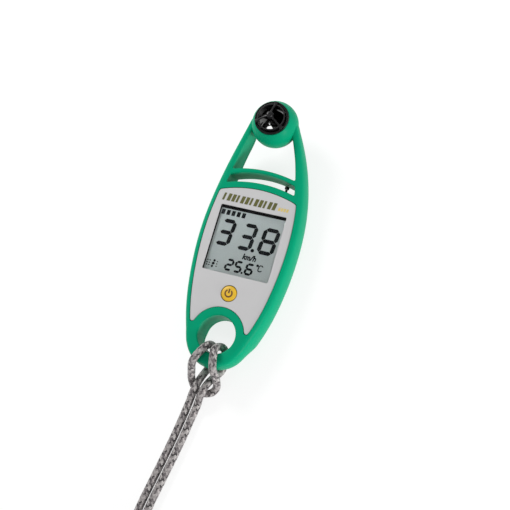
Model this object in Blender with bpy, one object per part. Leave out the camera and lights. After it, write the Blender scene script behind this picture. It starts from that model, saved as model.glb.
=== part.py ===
"""Vane anemometer: a pocket wind meter with a ball-shaped rotor head, a display, a finger hole and a cord.

It lies on its back: +Z out of the face, +Y towards the rotor head, origin under the middle of its length.
Lengths in this script are millimetres. They become metres where a mesh or a curve is made.
"""
import math

import bmesh
import bpy
import numpy as np
from mathutils import Matrix, Vector

MM = 0.001
GAP = 0.3                                   # clearance between pieces that touch
THROUGH = (-5, 20)                          # heights that pass right through the straight casing

# ---- casing -----------------------------------------------------------------------------------------
THICK = 15.0                                # casing thickness in its flat middle
EDGE = [(0, -68.9), (5.7, -67.9), (10.1, -65.2), (15.6, -55.5), (20.4, -40.5), (23.2, -25.0),
        (24.65, -6.0), (23.6, 14.5), (20.9, 29.5), (16.5, 44.5), (12.7, 55.0), (9.0, 61.5), (0, 65.0)]
SIDE = [(0, -0.6), (1.7, 1.5), (6.5, 2.1), (12.0, 1.2), (14.3, 0.2), (15, -1.8)]
PARTING = 2.4                               # height of the seam between the casing and its back cover
SEAM = 0.4
WALL = 2.5                                  # front edge to cavity
FLOOR = 1.8                                 # rear wall
CEILING = 12.4                              # underside of the front wall
FINGER_Y, FINGER_R = -53.7, 9.8
FINGER_BACK_R = 9.4                         # the hole narrows a little towards the back
HEEL_RISE = 5.0                             # the heel's back stands clear of a table for the cord

# ---- face -------------------------------------------------------------------------------------------
PLATE_INSET = 2.0                           # front edge to faceplate
PLATE_TOP, PLATE_THICK = 14.7, 0.6
PLATE_APEX, PLATE_R = 23.2, 63.0            # the arc across the faceplate's top
PLATE_FOOT_R = 14.2                         # the arc around the finger hole
PLATE_TIP_Y = -50.3                         # the faceplate's two lower tips
LCD_Y, LCD_W, LCD_H = -5.2, 35.8, 35.0      # display opening in the faceplate
GLASS_TOP, GLASS_THICK = 12.9, 1.8          # display cell
BUTTON_Y, BUTTON_R = -32.25, 4.0

# ---- head -------------------------------------------------------------------------------------------
HEAD = Vector((0, 57.3, 21.0))              # centre of the ball and of the rotor
BALL_R = 12.05
BALL_HALF = 7.9                             # half of the ball's depth between its two flat faces
TUBE_R, TUBE_WALL = 7.9, 0.5                # rotor cartridge
FLANGE_R, FLANGE_THICK = 8.87, 0.9
HUB_R = 1.7                                 # spider hubs
FRONT_PROUD, REAR_PROUD = 6.3, 3.6          # how far the hubs stand out of the cartridge
AXLE_R = 0.5
BLADES, BLADE_R, BLADE_HALF = 6, 7.0, 3.3
IMPELLER_TURN = 0.35                        # the first blade's direction at rest
SPIDER_TURN = math.radians(86)              # the first spider arm's direction
SENSOR_AT = (-9.9, 56.4, 18.0)              # speed sensor, in the ball's wall
CROSSBAR_BACK = 3.2                         # the crossbar is thinner than the arms by this much at its back

# ---- inside -----------------------------------------------------------------------------------------
BOARD = (6.8, 8.0)                          # circuit board, bottom and top
CELL_Y, CELL_R, CELL_Z = -8.0, 10.0, (2.9, 6.1)
CAP_R = 12.0
SCREWS = [(0, 19.4), (-16.0, -31.5), (16.0, -31.5)]
BOSS_R = 2.2
PROBE_X, PROBE_Z = 12.3, 10.0

# ---- cord -------------------------------------------------------------------------------------------
CORD_R = 2.0
HANK_X, HANK_Y, HANK_RUN, HANK_TURN_R = -5.5, -171.0, 46.0, 14.3
HANK_Z = (1.1, 9.6)
KNOT = (4.6, HANK_Y + 18.6)
TIE_HALF, TIE_THICK = 4.0, 0.8
HITCH = [(-17.6, -159.5, 3.0), (-17.4, -150.0, 2.3), (-15.2, -135.0, 2.1), (-12.4, -120.0, 2.1),
         (-9.9, -105.0, 2.1), (-8.2, -92.5, 2.2), (-7.3, -87.4, 3.3), (-6.4, -84.2, 5.5),
         (-5.4, -80.6, 6.7), (-4.6, -77.4, 6.6), (-3.9, -74.0, 5.0), (-3.1, -69.6, 2.6),
         (-2.9, -65.4, 2.1), (-2.8, -61.9, 2.9), (-2.6, -59.6, 5.6), (-2.4, -58.9, 9.3), (-2.4, -59.2, 13.5),
         (-2.8, -60.9, 17.5), (-4.2, -64.0, 19.2), (-6.0, -67.4, 19.1), (-7.5, -70.4, 16.4),
         (-8.4, -73.1, 11.8), (-9.1, -76.0, 7.2), (-8.9, -78.5, 4.1), (-7.5, -80.7, 2.5),
         (-5.0, -82.3, 2.2), (-1.8, -82.7, 2.2), (1.5, -81.9, 2.2), (3.9, -79.7, 3.3), (5.0, -76.9, 6.8),
         (4.8, -74.1, 11.4), (4.2, -71.8, 15.7), (3.8, -68.8, 19.0), (3.1, -65.0, 19.3),
         (2.3, -61.5, 17.9), (2.2, -59.4, 14.0), (2.8, -58.6, 9.3), (3.2, -59.1, 5.7), (3.8, -61.3, 2.8),
         (4.3, -65.2, 2.1), (4.1, -69.4, 2.5), (2.6, -73.0, 4.4), (0.7, -76.5, 6.2), (-0.4, -79.4, 6.8), (-1.4, -82.6, 6.6),
         (-2.3, -85.7, 5.1), (-3.0, -88.6, 2.9), (-3.9, -94.0, 2.1), (-5.4, -105.0, 2.1),
         (-7.9, -120.0, 2.1), (-10.7, -135.0, 2.1), (-12.9, -150.0, 2.3), (-13.1, -158.0, 3.0)]

COLOURS = {
    "green_plastic": ((0.02, 0.42, 0.24), 0.42, 0.0),
    "grey_plastic": ((0.62, 0.62, 0.63), 0.5, 0.0),
    "clear_plastic": ((0.85, 0.88, 0.88), 0.08, 0.0),
    "display_glass": ((0.42, 0.47, 0.46), 0.15, 0.0),
    "yellow_plastic": ((0.8, 0.52, 0.04), 0.45, 0.0),
    "black_plastic": ((0.012, 0.012, 0.013), 0.25, 0.0),
    "dark_plastic": ((0.06, 0.06, 0.065), 0.4, 0.0),
    "white_plastic": ((0.8, 0.8, 0.78), 0.5, 0.0),
    "rubber": ((0.03, 0.03, 0.03), 0.8, 0.0),
    "silicone": ((0.35, 0.35, 0.37), 0.7, 0.0),
    "circuit_board": ((0.02, 0.2, 0.08), 0.45, 0.0),
    "steel": ((0.62, 0.62, 0.64), 0.28, 1.0),
    "brass": ((0.75, 0.55, 0.25), 0.3, 1.0),
    "jewel": ((0.5, 0.02, 0.05), 0.1, 0.0),
    "magnet": ((0.2, 0.2, 0.21), 0.35, 1.0),
    "cord": ((0.28, 0.26, 0.27), 0.85, 0.0),
    "tie": ((0.05, 0.05, 0.05), 0.8, 0.0),
}


# ---- numbers ----------------------------------------------------------------------------------------
def smooth_step(value):
    value = np.clip(value, 0, 1)
    return value * value * (3 - 2 * value)


def spline(points, count, closed=False):
    """An even walk along the smooth curve through the points: a cubic spline with equal second slopes."""
    points = np.array(points, float)
    if closed:
        points = np.vstack([points[-3:], points, points[:4]])
    steps = np.linalg.norm(np.diff(points, axis=0), axis=1)
    knots = np.concatenate([[0], np.cumsum(steps)])
    size = len(points)
    matrix = np.eye(size)
    right = np.zeros_like(points)
    for i in range(1, size - 1):
        before, after = steps[i - 1], steps[i]
        matrix[i, i - 1:i + 2] = before, 2 * (before + after), after
        slope_after = (points[i + 1] - points[i]) / after
        slope_before = (points[i] - points[i - 1]) / before
        right[i] = 6 * (slope_after - slope_before)
    curvature = np.linalg.solve(matrix, right)
    first, last = (3, size - 4) if closed else (0, size - 1)
    fine = np.linspace(knots[first], knots[last], 3000)
    span = np.clip(np.searchsorted(knots, fine, side="right") - 1, 0, size - 2)
    width = steps[span][:, None]
    left = (knots[span + 1] - fine)[:, None] / width
    rest = 1 - left
    walk = left * points[span] + rest * points[span + 1]
    walk += ((left**3 - left) * curvature[span] + (rest**3 - rest) * curvature[span + 1]) * width**2 / 6
    length = np.concatenate([[0], np.cumsum(np.linalg.norm(np.diff(walk, axis=0), axis=1))])
    stops = np.linspace(0, length[-1], count + 1 if closed else count)
    even = np.column_stack([np.interp(stops, length, walk[:, k]) for k in range(walk.shape[1])])
    return even[:-1] if closed else even


def circle(centre, radius, steps, start=0.0):
    angles = start + np.arange(steps) * 2 * math.pi / steps
    return np.column_stack([centre[0] + radius * np.cos(angles), centre[1] + radius * np.sin(angles)])


def arc_drop(x, radius):
    """How far an arc of this radius has fallen at distance x from its apex."""
    return radius - math.sqrt(radius * radius - x * x)


def offset(loop, distance):
    """A closed anticlockwise outline pushed outwards; distance may differ from point to point."""
    tangent = np.roll(loop, -1, 0) - np.roll(loop, 1, 0)
    tangent /= np.linalg.norm(tangent, axis=1)[:, None]
    normal = np.column_stack([tangent[:, 1], -tangent[:, 0]])
    return loop + normal * np.reshape(distance, (-1, 1))


def casing_edge(steps=60):
    """The casing's front edge in plan, anticlockwise from the heel."""
    left = [(-x, y) for x, y in EDGE[-2:0:-1]]
    return spline(EDGE + left, steps, closed=True)


def rear_height(y):
    """The back of the casing: flat in the middle, raised at the heel and along the arms."""
    arms = 0.0058 * max(y - 11.0, 0)**2 + 0.03 * max(min(y, HEAD.y) - 46.0, 0)**2
    heel = HEEL_RISE * float(smooth_step((-52.5 - y) / 8.5))
    return min(arms, 16.0) + heel


def front_height(y):
    """The front of the casing: flat over the display, swept forward to the head and a little to the heel."""
    y = min(y, HEAD.y)
    return THICK + 0.0043 * max(y - 11.0, 0)**2 + 0.0014 * min(y + 31.1, 0)**2


def swept(y, z):
    """Where a height in the straight casing goes in the swept one."""
    low = rear_height(y)
    return low + (front_height(y) - low) * z / THICK


# ---- meshes -----------------------------------------------------------------------------------------
def add(name, geometry, finish=None):
    """A mesh object from a bmesh in millimetres."""
    bmesh.ops.scale(geometry, vec=(MM, MM, MM), verts=geometry.verts)
    bmesh.ops.recalc_face_normals(geometry, faces=geometry.faces)
    mesh = bpy.data.meshes.new(name)
    geometry.to_mesh(mesh)
    geometry.free()
    item = bpy.data.objects.new(name, mesh)
    bpy.context.scene.collection.objects.link(item)
    if finish:
        paint(item, finish)
    return item


def paint(item, finish):
    material = bpy.data.materials.get(finish)
    if material is None:
        colour, rough, metal = COLOURS[finish]
        material = bpy.data.materials.new(finish)
        material.use_nodes = True
        shader = material.node_tree.nodes["Principled BSDF"]
        shader.inputs["Base Color"].default_value = (*colour, 1)
        shader.inputs["Roughness"].default_value = rough
        shader.inputs["Metallic"].default_value = metal
    item.data.materials.clear()
    item.data.materials.append(material)


def smooth(item, degrees=35):
    item.data.shade_smooth()
    item.data.set_sharp_from_angle(angle=math.radians(degrees))


def loft(rings):
    """A closed body through rings of points, with flat ends."""
    shape = bmesh.new()
    rows = [[shape.verts.new(point) for point in ring] for ring in rings]
    size = len(rows[0])
    for low, high in zip(rows, rows[1:]):
        for i in range(size):
            shape.faces.new((low[i], low[(i + 1) % size], high[(i + 1) % size], high[i]))
    shape.faces.new(rows[0][::-1])
    shape.faces.new(rows[-1])
    return shape


def prism(outline, low, high):
    return loft([[(x, y, z) for x, y in outline] for z in (low, high)])


def block(x, y, z):
    """A box from pairs of lowest and highest values."""
    return prism([(x[0], y[0]), (x[1], y[0]), (x[1], y[1]), (x[0], y[1])], *z)


def disc(centre, radius, low, high, steps=32):
    """A short upright cylinder, turned a little so that its corners miss those of other round shapes."""
    return prism(circle(centre, radius, steps, 0.031), low, high)


def turned(profile, centre, steps=32):
    """A body turned about a vertical axis from a closed profile of (radius, height) points."""
    shape = bmesh.new()
    verts = [shape.verts.new((centre[0] + r, centre[1], z)) for r, z in profile]
    edges = [shape.edges.new((a, b)) for a, b in zip(verts, verts[1:] + verts[:1])]
    bmesh.ops.spin(shape, geom=verts + edges, cent=(centre[0], centre[1], 0), axis=(0, 0, 1),
                   angle=2 * math.pi, steps=steps, use_merge=True)
    bmesh.ops.remove_doubles(shape, verts=shape.verts, dist=1e-4)
    return shape


def rod(start, end, radius, steps=12):
    """A straight round bar between two points."""
    start, end = Vector(start), Vector(end)
    along = (end - start).normalized()
    side = along.cross(Vector((0, 0, 1)) if abs(along.z) < 0.9 else Vector((1, 0, 0))).normalized()
    other = along.cross(side)
    ring = [side * math.cos(a) * radius + other * math.sin(a) * radius
            for a in np.arange(steps) * 2 * math.pi / steps]
    return loft([[start + p for p in ring], [end + p for p in ring]])


def tube(name, points, radius, finish, resolution=2):
    """A round cord along the points, as a curve with filled ends."""
    curve = bpy.data.curves.new(name, "CURVE")
    curve.dimensions = "3D"
    curve.bevel_depth = radius * MM
    curve.bevel_resolution = resolution
    curve.use_fill_caps = True
    line = curve.splines.new("POLY")
    line.points.add(len(points) - 1)
    for node, point in zip(line.points, points):
        node.co = (*(MM * value for value in point), 1)
    item = bpy.data.objects.new(name, curve)
    bpy.context.scene.collection.objects.link(item)
    paint(item, finish)
    return item


def bake(item):
    """Take the evaluated mesh as the object's own and drop the modifiers."""
    graph = bpy.context.evaluated_depsgraph_get()
    mesh = bpy.data.meshes.new_from_object(item.evaluated_get(graph))
    item.modifiers.clear()
    item.data = mesh


def combine(item, tool, operation):
    """Boolean the tool into the item; the tool is used up."""
    if isinstance(tool, bmesh.types.BMesh):
        tool = add("tool", tool)
    change = item.modifiers.new(operation, "BOOLEAN")
    change.operation = operation
    change.solver = "EXACT"
    change.object = tool
    bpy.context.view_layer.update()
    bake(item)
    bpy.data.objects.remove(tool)
    return item


def cut(item, *tools):
    for tool in tools:
        combine(item, tool, "DIFFERENCE")
    return item


def join(item, *tools):
    for tool in tools:
        combine(item, tool, "UNION")
    return item


def duplicate(item, name):
    copy = item.copy()
    copy.data = item.data.copy()
    copy.name = name
    bpy.context.scene.collection.objects.link(copy)
    return copy


def slice_across(shape, shift=0.0):
    """Cut edges across a shape wherever the swept casing bends."""
    for y in np.array([*np.arange(-66, -48, 3.5), -44, -38, *np.arange(11, 56, 5), 56.9]) + shift:
        every = shape.verts[:] + shape.edges[:] + shape.faces[:]
        bmesh.ops.bisect_plane(shape, geom=every, plane_co=(0, y * MM, 0), plane_no=(0, 1, 0), dist=1e-7)
    bmesh.ops.triangulate(shape, faces=shape.faces)


def sweep(item):
    """Slice a straight casing piece across its length, then carry each slice to its swept height."""
    shape = bmesh.new()
    shape.from_mesh(item.data)
    slice_across(shape)
    for vert in shape.verts:
        vert.co.z = swept(vert.co.y / MM, vert.co.z / MM) * MM
    shape.to_mesh(item.data)
    shape.free()


def hang_on(item, pivot):
    """Put an object's origin on its joint's axis without moving the object."""
    pivot = Vector(pivot) * MM
    item.data.transform(Matrix.Translation(-pivot))
    item.location = pivot
    return item


# ---- outlines ---------------------------------------------------------------------------------------
def inside_outline(inset, grow=0.0):
    """The faceplate's outline family: inset from the casing edge, between the top arc and the finger hole."""
    foot_r = PLATE_FOOT_R - grow
    top_r = PLATE_R + grow
    top_centre = PLATE_APEX - PLATE_R
    tip_y = PLATE_TIP_Y - grow
    edge = [(x, y) for x, y in offset(casing_edge(2400), -inset) if x > 0 and y > tip_y
            and math.hypot(x, y - FINGER_Y) > foot_r and math.hypot(x, y - top_centre) < top_r]
    side = [edge[int(i)] for i in np.linspace(0, len(edge) - 1, 22)]
    tip_angle = math.acos((tip_y - FINGER_Y) / foot_r)
    foot_angle = min(tip_angle, math.atan2(side[0][0], side[0][1] - FINGER_Y) - 0.04)
    foot = [(foot_r * math.sin(a), FINGER_Y + foot_r * math.cos(a))
            for a in np.linspace(-foot_angle, foot_angle, 19)]
    top_angle = math.atan2(side[-1][0], side[-1][1] - top_centre) - 0.01
    top = [(top_r * math.sin(a), top_centre + top_r * math.cos(a))
           for a in np.linspace(top_angle, -top_angle, 17)]
    mirrored = [(-x, y) for x, y in side[::-1]]
    return np.array(side + top + mirrored + foot)


def arc(half, apex, fall, steps=14):
    """Points along an arc that bows towards the head, from left to right."""
    radius = (half * half + fall * fall) / (2 * fall)
    return [(x, apex - arc_drop(x, radius)) for x in np.linspace(-half, half, steps)]


def slot_outline():
    """The narrow opening between the body and the crossbar."""
    return arc(18.6, 26.6, 2.6) + arc(17.8, 31.7, 3.0)[::-1]


def window_outline():
    """The opening between the crossbar, the arms and the head."""
    right = [(16.0, 36.5), (14.95, 40.5), (13.65, 44.5), (12.4, 48.0), (11.1, 51.5), (9.5, 55.5),
             (7.6, 60.0), (6.6, 66.0)]
    left = [(-x, y) for x, y in right[::-1]]
    return arc(17.2, 33.6, 2.2) + right + left


def bar_back_outline():
    """What is taken off the crossbar's back."""
    return arc(17.9, 31.2, 3.0) + arc(17.0, 34.1, 2.6)[::-1]


# ---- casing -----------------------------------------------------------------------------------------
def side_offsets(loop, amount):
    """The side wall bulges least at the heel and the head."""
    heel = 0.8 + 0.2 * smooth_step((loop[:, 1] + 70) / 25)
    head = 0.5 + 0.5 * smooth_step((62 - loop[:, 1]) / 25)
    return amount * heel * head if amount > 0 else np.full(len(loop), amount)


def finger_hole():
    """The finger hole's cone, a little wider at the face."""
    slope = (FINGER_R - FINGER_BACK_R) / THICK
    return loft([[(x, y, z) for x, y in circle((0, FINGER_Y), FINGER_BACK_R + slope * z, 32, 0.031)]
                 for z in THROUGH])


def straight_blank():
    """The casing's outer body with its three openings, before it is swept."""
    loop = casing_edge()
    rings = [[(x, y, z) for x, y in offset(loop, side_offsets(loop, out))] for z, out in SIDE]
    blank = add("blank", loft(rings))
    cut(blank, finger_hole())
    cut(blank, prism(slot_outline(), *THROUGH), prism(window_outline(), *THROUGH))
    cut(blank, prism(bar_back_outline(), THROUGH[0], CROSSBAR_BACK))
    return blank


def ball():
    """The head's ball with its two flat faces."""
    steps = 7
    top = math.asin(BALL_HALF / BALL_R)
    angles = np.linspace(-top, top, steps)
    profile = [(BALL_R * math.cos(a), HEAD.z + BALL_R * math.sin(a)) for a in angles]
    return turned(profile + [(0, HEAD.z + BALL_HALF), (0, HEAD.z - BALL_HALF)], HEAD, 32)


def other_side(upper):
    """All that lies past the swept seam from the upper or the lower half of the casing."""
    seam = PARTING + (SEAM if upper else -SEAM) / 2
    slab = add("slab", block((-45, 45), (-90, 90), (-90, seam) if upper else (seam, 90)))
    shape = bmesh.new()
    shape.from_mesh(slab.data)
    slice_across(shape, 0.87)
    for vert in shape.verts:
        if abs(vert.co.z / MM - seam) < 1:
            vert.co.z = swept(vert.co.y / MM, seam) * MM
    shape.to_mesh(slab.data)
    shape.free()
    return slab


def sensor_pocket():
    x, y, z = SENSOR_AT
    return block((x - 1.3, x + 1.3), (y - 2.0, y + 2.0), (z - 1.8, z + 1.8))


def finish_casing(half, upper, *openings):
    """Sweep a casing half, add the ball, open the rotor bore through it and part it at the seam."""
    sweep(half)
    join(half, ball())
    cut(half, disc(HEAD.xy, TUBE_R + GAP, -5, 40, 32), other_side(upper))
    cut(half, sensor_pocket(), lead_groove(), *openings)
    paint(half, "green_plastic")
    smooth(half)
    return half


def screw_bosses(half):
    """Posts through the circuit board that take the screws from the back."""
    for place in SCREWS:
        join(half, disc(place, BOSS_R, PARTING + 2 * GAP, CEILING + 0.5, 20))
    for place in SCREWS:
        cut(half, disc(place, 0.95, 0, CEILING - 1.0, 16))


def front_housing(blank):
    half = duplicate(blank, "front_housing")
    cut(half, prism(inside_outline(WALL, -0.5), -5, CEILING))
    screw_bosses(half)
    recess = PLATE_TOP - PLATE_THICK - GAP
    cut(half, prism(inside_outline(PLATE_INSET - GAP, GAP), recess, 20))
    cut(half, block((-19.0, 19.0), (LCD_Y - 18.7, LCD_Y + 18.7), (0, 20)))
    cut(half, block((-20.4, 20.4), (LCD_Y - 20.1, LCD_Y + 20.1), (8, GLASS_TOP + GAP)))
    cut(half, disc((0, BUTTON_Y), BUTTON_R + GAP, 5, 20, 32))
    return finish_casing(half, True, rod((PROBE_X, 18, PROBE_Z), (PROBE_X, 32.5, PROBE_Z), 0.95))


def rear_housing(blank):
    half = duplicate(blank, "rear_housing")
    cut(half, prism(inside_outline(WALL, -0.5), FLOOR, 20))
    for place in SCREWS:
        cut(half, disc(place, 1.0, -2, 20, 16), disc(place, 2.1, -2, FLOOR - 0.5, 20))
    cut(half, disc((0, CELL_Y), CAP_R + GAP, -2, 10, 36))
    return finish_casing(half, False)


def plate_with_openings(name, outline, low, high, finish, *openings):
    item = add(name, prism(outline, low, high))
    cut(item, *openings)
    paint(item, finish)
    return item


def faceplate():
    low = PLATE_TOP - PLATE_THICK
    window = block((-LCD_W / 2, LCD_W / 2), (LCD_Y - LCD_H / 2, LCD_Y + LCD_H / 2), THROUGH)
    hole = disc((0, BUTTON_Y), BUTTON_R + GAP, *THROUGH, 32)
    plate = plate_with_openings("faceplate", inside_outline(PLATE_INSET), low, PLATE_TOP, "grey_plastic",
                                window, hole)
    sweep(plate)


def display():
    low = GLASS_TOP + GAP
    window = block((-18.7, 18.7), (LCD_Y - 18.4, LCD_Y + 18.4), (low, low + 0.6))
    add("display_window", window, "clear_plastic")
    glass = (GLASS_TOP - GLASS_THICK, GLASS_TOP)
    add("lcd_panel", block((-19.3, 19.3), (LCD_Y - 19.5, LCD_Y + 19.5), glass), "display_glass")
    under = (BOARD[1] + GAP, glass[0] - GAP)
    frame = add("lcd_frame", block((-20.0, 20.0), (LCD_Y - 20.0, LCD_Y + 20.0), under))
    cut(frame, block((-18.0, 18.0), (LCD_Y - 18.9, LCD_Y + 18.9), THROUGH))
    paint(frame, "white_plastic")
    for name, side in (("lcd_connector_top", 1), ("lcd_connector_bottom", -1)):
        y = LCD_Y + side * 17.4
        strip = block((-17.0, 17.0), (y - 1.0, y + 1.0), under)
        add(name, strip, "silicone")


def circuit():
    outline = inside_outline(WALL + 1.4, -1.9)
    holes = [disc(place, BOSS_R + GAP, 0, 20, 20) for place in SCREWS]
    plate_with_openings("circuit_board", outline, *BOARD, "circuit_board", *holes)
    top = BOARD[1] + GAP
    add("microcontroller", block((-5, 5), (-14, -4), (top, top + 1.0)), "dark_plastic")
    add("sensor_amplifier", block((-13.5, -9.5), (1.5, 6.0), (top, top + 0.9)), "dark_plastic")
    add("clock_crystal", block((7.5, 14), (-10.2, -8.0), (top, top + 1.2)), "steel")
    add("buzzer_disc", disc((11.0, 3.5), 4.4, top, top + 0.7, 32), "brass")


def lead_path():
    """Along the middle of the left arm's seam, from the circuit board to the speed sensor."""
    low_end = [(-17.3, 14.8, 8.9), (-18.1, 17.8, 8.9), (-19.1, 20.8, 7.4), (-19.8, 24.0, 4.6)]
    arm = [(-19.9, 27.5), (-19.2, 31.5), (-17.8, 36.5), (-16.6, 41.0), (-15.3, 45.0), (-13.5, 49.6),
           (-12.0, 53.0)]
    points = [p if len(p) == 3 else (*p, swept(p[1], PARTING)) for p in low_end + arm]
    return spline(points + [(SENSOR_AT[0] - 1.1, SENSOR_AT[1] - 1.4, SENSOR_AT[2] - 0.3)], 14)


def lead_groove():
    groove = tube("groove", lead_path(), 0.75, "dark_plastic", 1)
    graph = bpy.context.evaluated_depsgraph_get()
    mesh = bpy.data.meshes.new_from_object(groove.evaluated_get(graph))
    bpy.data.objects.remove(groove)
    item = bpy.data.objects.new("groove", mesh)
    bpy.context.scene.collection.objects.link(item)
    return item


# ---- button, battery and fasteners --------------------------------------------------------------------
def power_button():
    """A cap with a flange under the front wall and a stem that rests on the switch's plunger."""
    r = BUTTON_R
    flange = CEILING - GAP
    profile = [(0, 15.25), (r - 1.0, 15.15), (r - 0.3, 14.9), (r, 14.5), (r, flange), (r + 1.2, flange),
               (r + 1.2, flange - 0.7), (1.3, flange - 0.7), (1.3, 10.7), (0, 10.7)]
    cap = add("power_button", turned(profile, (0, BUTTON_Y), 32), "yellow_plastic")
    smooth(cap)
    hang_on(cap, (0, BUTTON_Y, 10.7))
    top = BOARD[1] + GAP
    plunger = add("switch_plunger", disc((0, BUTTON_Y), 0.9, top + 1.1, 10.7 - GAP, 16), "dark_plastic")
    hang_on(plunger, (0, BUTTON_Y, 10.7))
    body = add("switch_body", block((-2.4, 2.4), (BUTTON_Y - 2.4, BUTTON_Y + 2.4), (top, top + 1.7)))
    cut(body, disc((0, BUTTON_Y), 1.2, top + 0.4, 20, 16))
    paint(body, "steel")


def battery():
    low, high = CELL_Z
    profile = [(0, low), (8.6, low), (8.8, low + 0.3), (9.7, low + 0.4), (CELL_R, low + 0.7),
               (CELL_R, high - 0.2), (9.8, high), (0, high)]
    add("coin_cell", turned(profile, (0, CELL_Y), 32), "steel")
    low = CELL_Z[1] + 0.15
    add("contact_minus", block((-3.5, 3.5), (CELL_Y - 6, CELL_Y + 6), (low, low + 0.25)), "brass")
    side = CELL_R + GAP
    contact = [(side, CELL_Y - 3), (side + 0.4, CELL_Y - 3), (side + 0.4, CELL_Y + 3), (side, CELL_Y + 3)]
    add("contact_plus", prism(contact, CELL_Z[0] + 0.2, BOARD[0] - 0.2), "brass")


def battery_cap():
    """A flush cap with a coin slot, a neck for its seal and two lugs that turn under the rear wall."""
    centre = (0, CELL_Y)
    neck_low, top = 1.2, 2.55
    profile = [(0, 0.2), (CAP_R - 0.4, 0.2), (CAP_R, 0.5), (CAP_R, neck_low), (10.6, neck_low), (10.6, top),
               (0, top)]
    cap = add("battery_cap", turned(profile, centre, 36))
    lug = block((10.2, 13.6), (-2.4, 2.4), (FLOOR + GAP, top))
    bmesh.ops.translate(lug, verts=lug.verts, vec=(0, CELL_Y, 0))
    other = block((-13.6, -10.2), (-2.4, 2.4), (FLOOR + GAP, top))
    bmesh.ops.translate(other, verts=other.verts, vec=(0, CELL_Y, 0))
    join(cap, lug, other)
    cut(cap, block((-8.0, 8.0), (CELL_Y - 1.0, CELL_Y + 1.0), (-1, 1.3)))
    paint(cap, "green_plastic")
    smooth(cap)
    hang_on(cap, (*centre, 0))
    seal = [(11.25 + 0.36 * math.cos(a), 1.72 + 0.2 * math.sin(a)) for a in np.arange(4) * math.pi / 2]
    ring = add("battery_seal", turned(seal, centre, 32), "rubber")
    hang_on(ring, (*centre, 0))


def fasteners():
    profile = [(0, 0.2), (1.6, 0.2), (1.8, 0.4), (1.8, 1.0), (0.7, 1.05), (0.7, 10.5), (0, 10.9)]
    for number, place in enumerate(SCREWS, 1):
        add(f"housing_screw_{number}", turned(profile, place, 16), "steel")


# ---- head ---------------------------------------------------------------------------------------------
def cartridge():
    """The black tube that carries the rotor, with a flange over the ball's front face."""
    front = HEAD.z + BALL_HALF + GAP
    back = HEAD.z - BALL_HALF
    inner = TUBE_R - TUBE_WALL
    profile = [(TUBE_R, back), (TUBE_R, front), (FLANGE_R, front), (FLANGE_R - 0.15, front + FLANGE_THICK),
               (inner + 0.25, front + FLANGE_THICK), (inner, front + 0.2), (inner, back)]
    item = add("rotor_cartridge", turned(profile, HEAD, 40), "black_plastic")
    smooth(item)


def spider(name, side, proud, arm):
    """A hub on three arms that bow out of the cartridge, with a foot ring that snaps inside its mouth.

    arm lists its sections: radius, height over the mouth, half width and half depth.
    """
    mouth = HEAD.z + side * (BALL_HALF - 0.2)
    ring_r = TUBE_R - TUBE_WALL - 0.25
    ring_top = max(0.2, arm[-2][1])

    def at(rise):
        return mouth + side * rise

    hub = [(0, at(proud)), (HUB_R * 0.7, at(proud)), (HUB_R, at(proud - 0.4)), (HUB_R, at(proud - 2.6)),
           (1.25, at(proud - 2.6)), (1.25, at(proud - 1.0)), (0, at(proud - 1.0))]
    ring = [(ring_r, at(-1.5)), (ring_r, at(ring_top)),
            (ring_r - 0.6, at(ring_top)), (ring_r - 0.6, at(-1.5))]
    item = add(name, turned(hub, HEAD, 24))
    join(item, turned(ring, HEAD, 36))
    for number in range(3):
        join(item, spider_arm(SPIDER_TURN + number * 2 * math.pi / 3, at, arm))
    paint(item, "dark_plastic")
    smooth(item)


def spider_arm(angle, at, sections):
    """One curved arm from the hub to its wider foot."""
    out = Vector((math.cos(angle), math.sin(angle), 0))
    across = Vector((-out.y, out.x, 0))
    rings = []
    for r, rise, wide, deep in sections:
        middle = Vector((HEAD.x, HEAD.y, at(rise))) + out * r
        rings.append([middle + across * (w * wide) + Vector((0, 0, d * deep))
                      for w, d in ((-1, -1), (1, -1), (1, 1), (-1, 1))])
    return loft(rings)


def spiders():
    """The front arms land on the flange, and the rear ones inside the cartridge."""
    start = HUB_R - 0.45
    front = [(start, FRONT_PROUD - 1.5, 0.6, 0.5), (3.2, 4.45, 0.42, 0.4), (5.2, 3.6, 0.42, 0.4),
             (6.9, 2.75, 0.6, 0.4), (8.5, 2.15, 1.3, 0.35)]
    rear = [(start, REAR_PROUD - 1.5, 0.6, 0.5), (3.0, REAR_PROUD - 1.9, 0.42, 0.4),
            (4.6, REAR_PROUD - 2.6, 0.42, 0.4), (6.0, 0.2, 0.6, 0.45), (7.0, -0.75, 1.3, 0.55)]
    spider("front_spider", 1, FRONT_PROUD, front)
    spider("rear_spider", -1, REAR_PROUD, rear)


def blade(start):
    """One twisted blade: a thin screw surface from the hub to the tip."""
    radii = [1.7, 3.5, 5.3, BLADE_R]
    rings = []
    for r in radii:
        reach = 0.46 + 0.05 * (r / BLADE_R)
        ring = []
        for thick, turns in ((0.3, (-1, -0.33, 0.33, 1)), (-0.3, (1, 0.33, -0.33, -1))):
            for t in turns:
                angle = start + t * reach
                shift = thick / math.hypot(1, BLADE_HALF / (reach * r))
                twist = thick * (BLADE_HALF / (reach * r)) / math.hypot(1, BLADE_HALF / (reach * r)) / r
                ring.append((HEAD.x + r * math.cos(angle - twist), HEAD.y + r * math.sin(angle - twist),
                             HEAD.z + t * BLADE_HALF + shift))
        rings.append(ring)
    return loft(rings)


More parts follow.
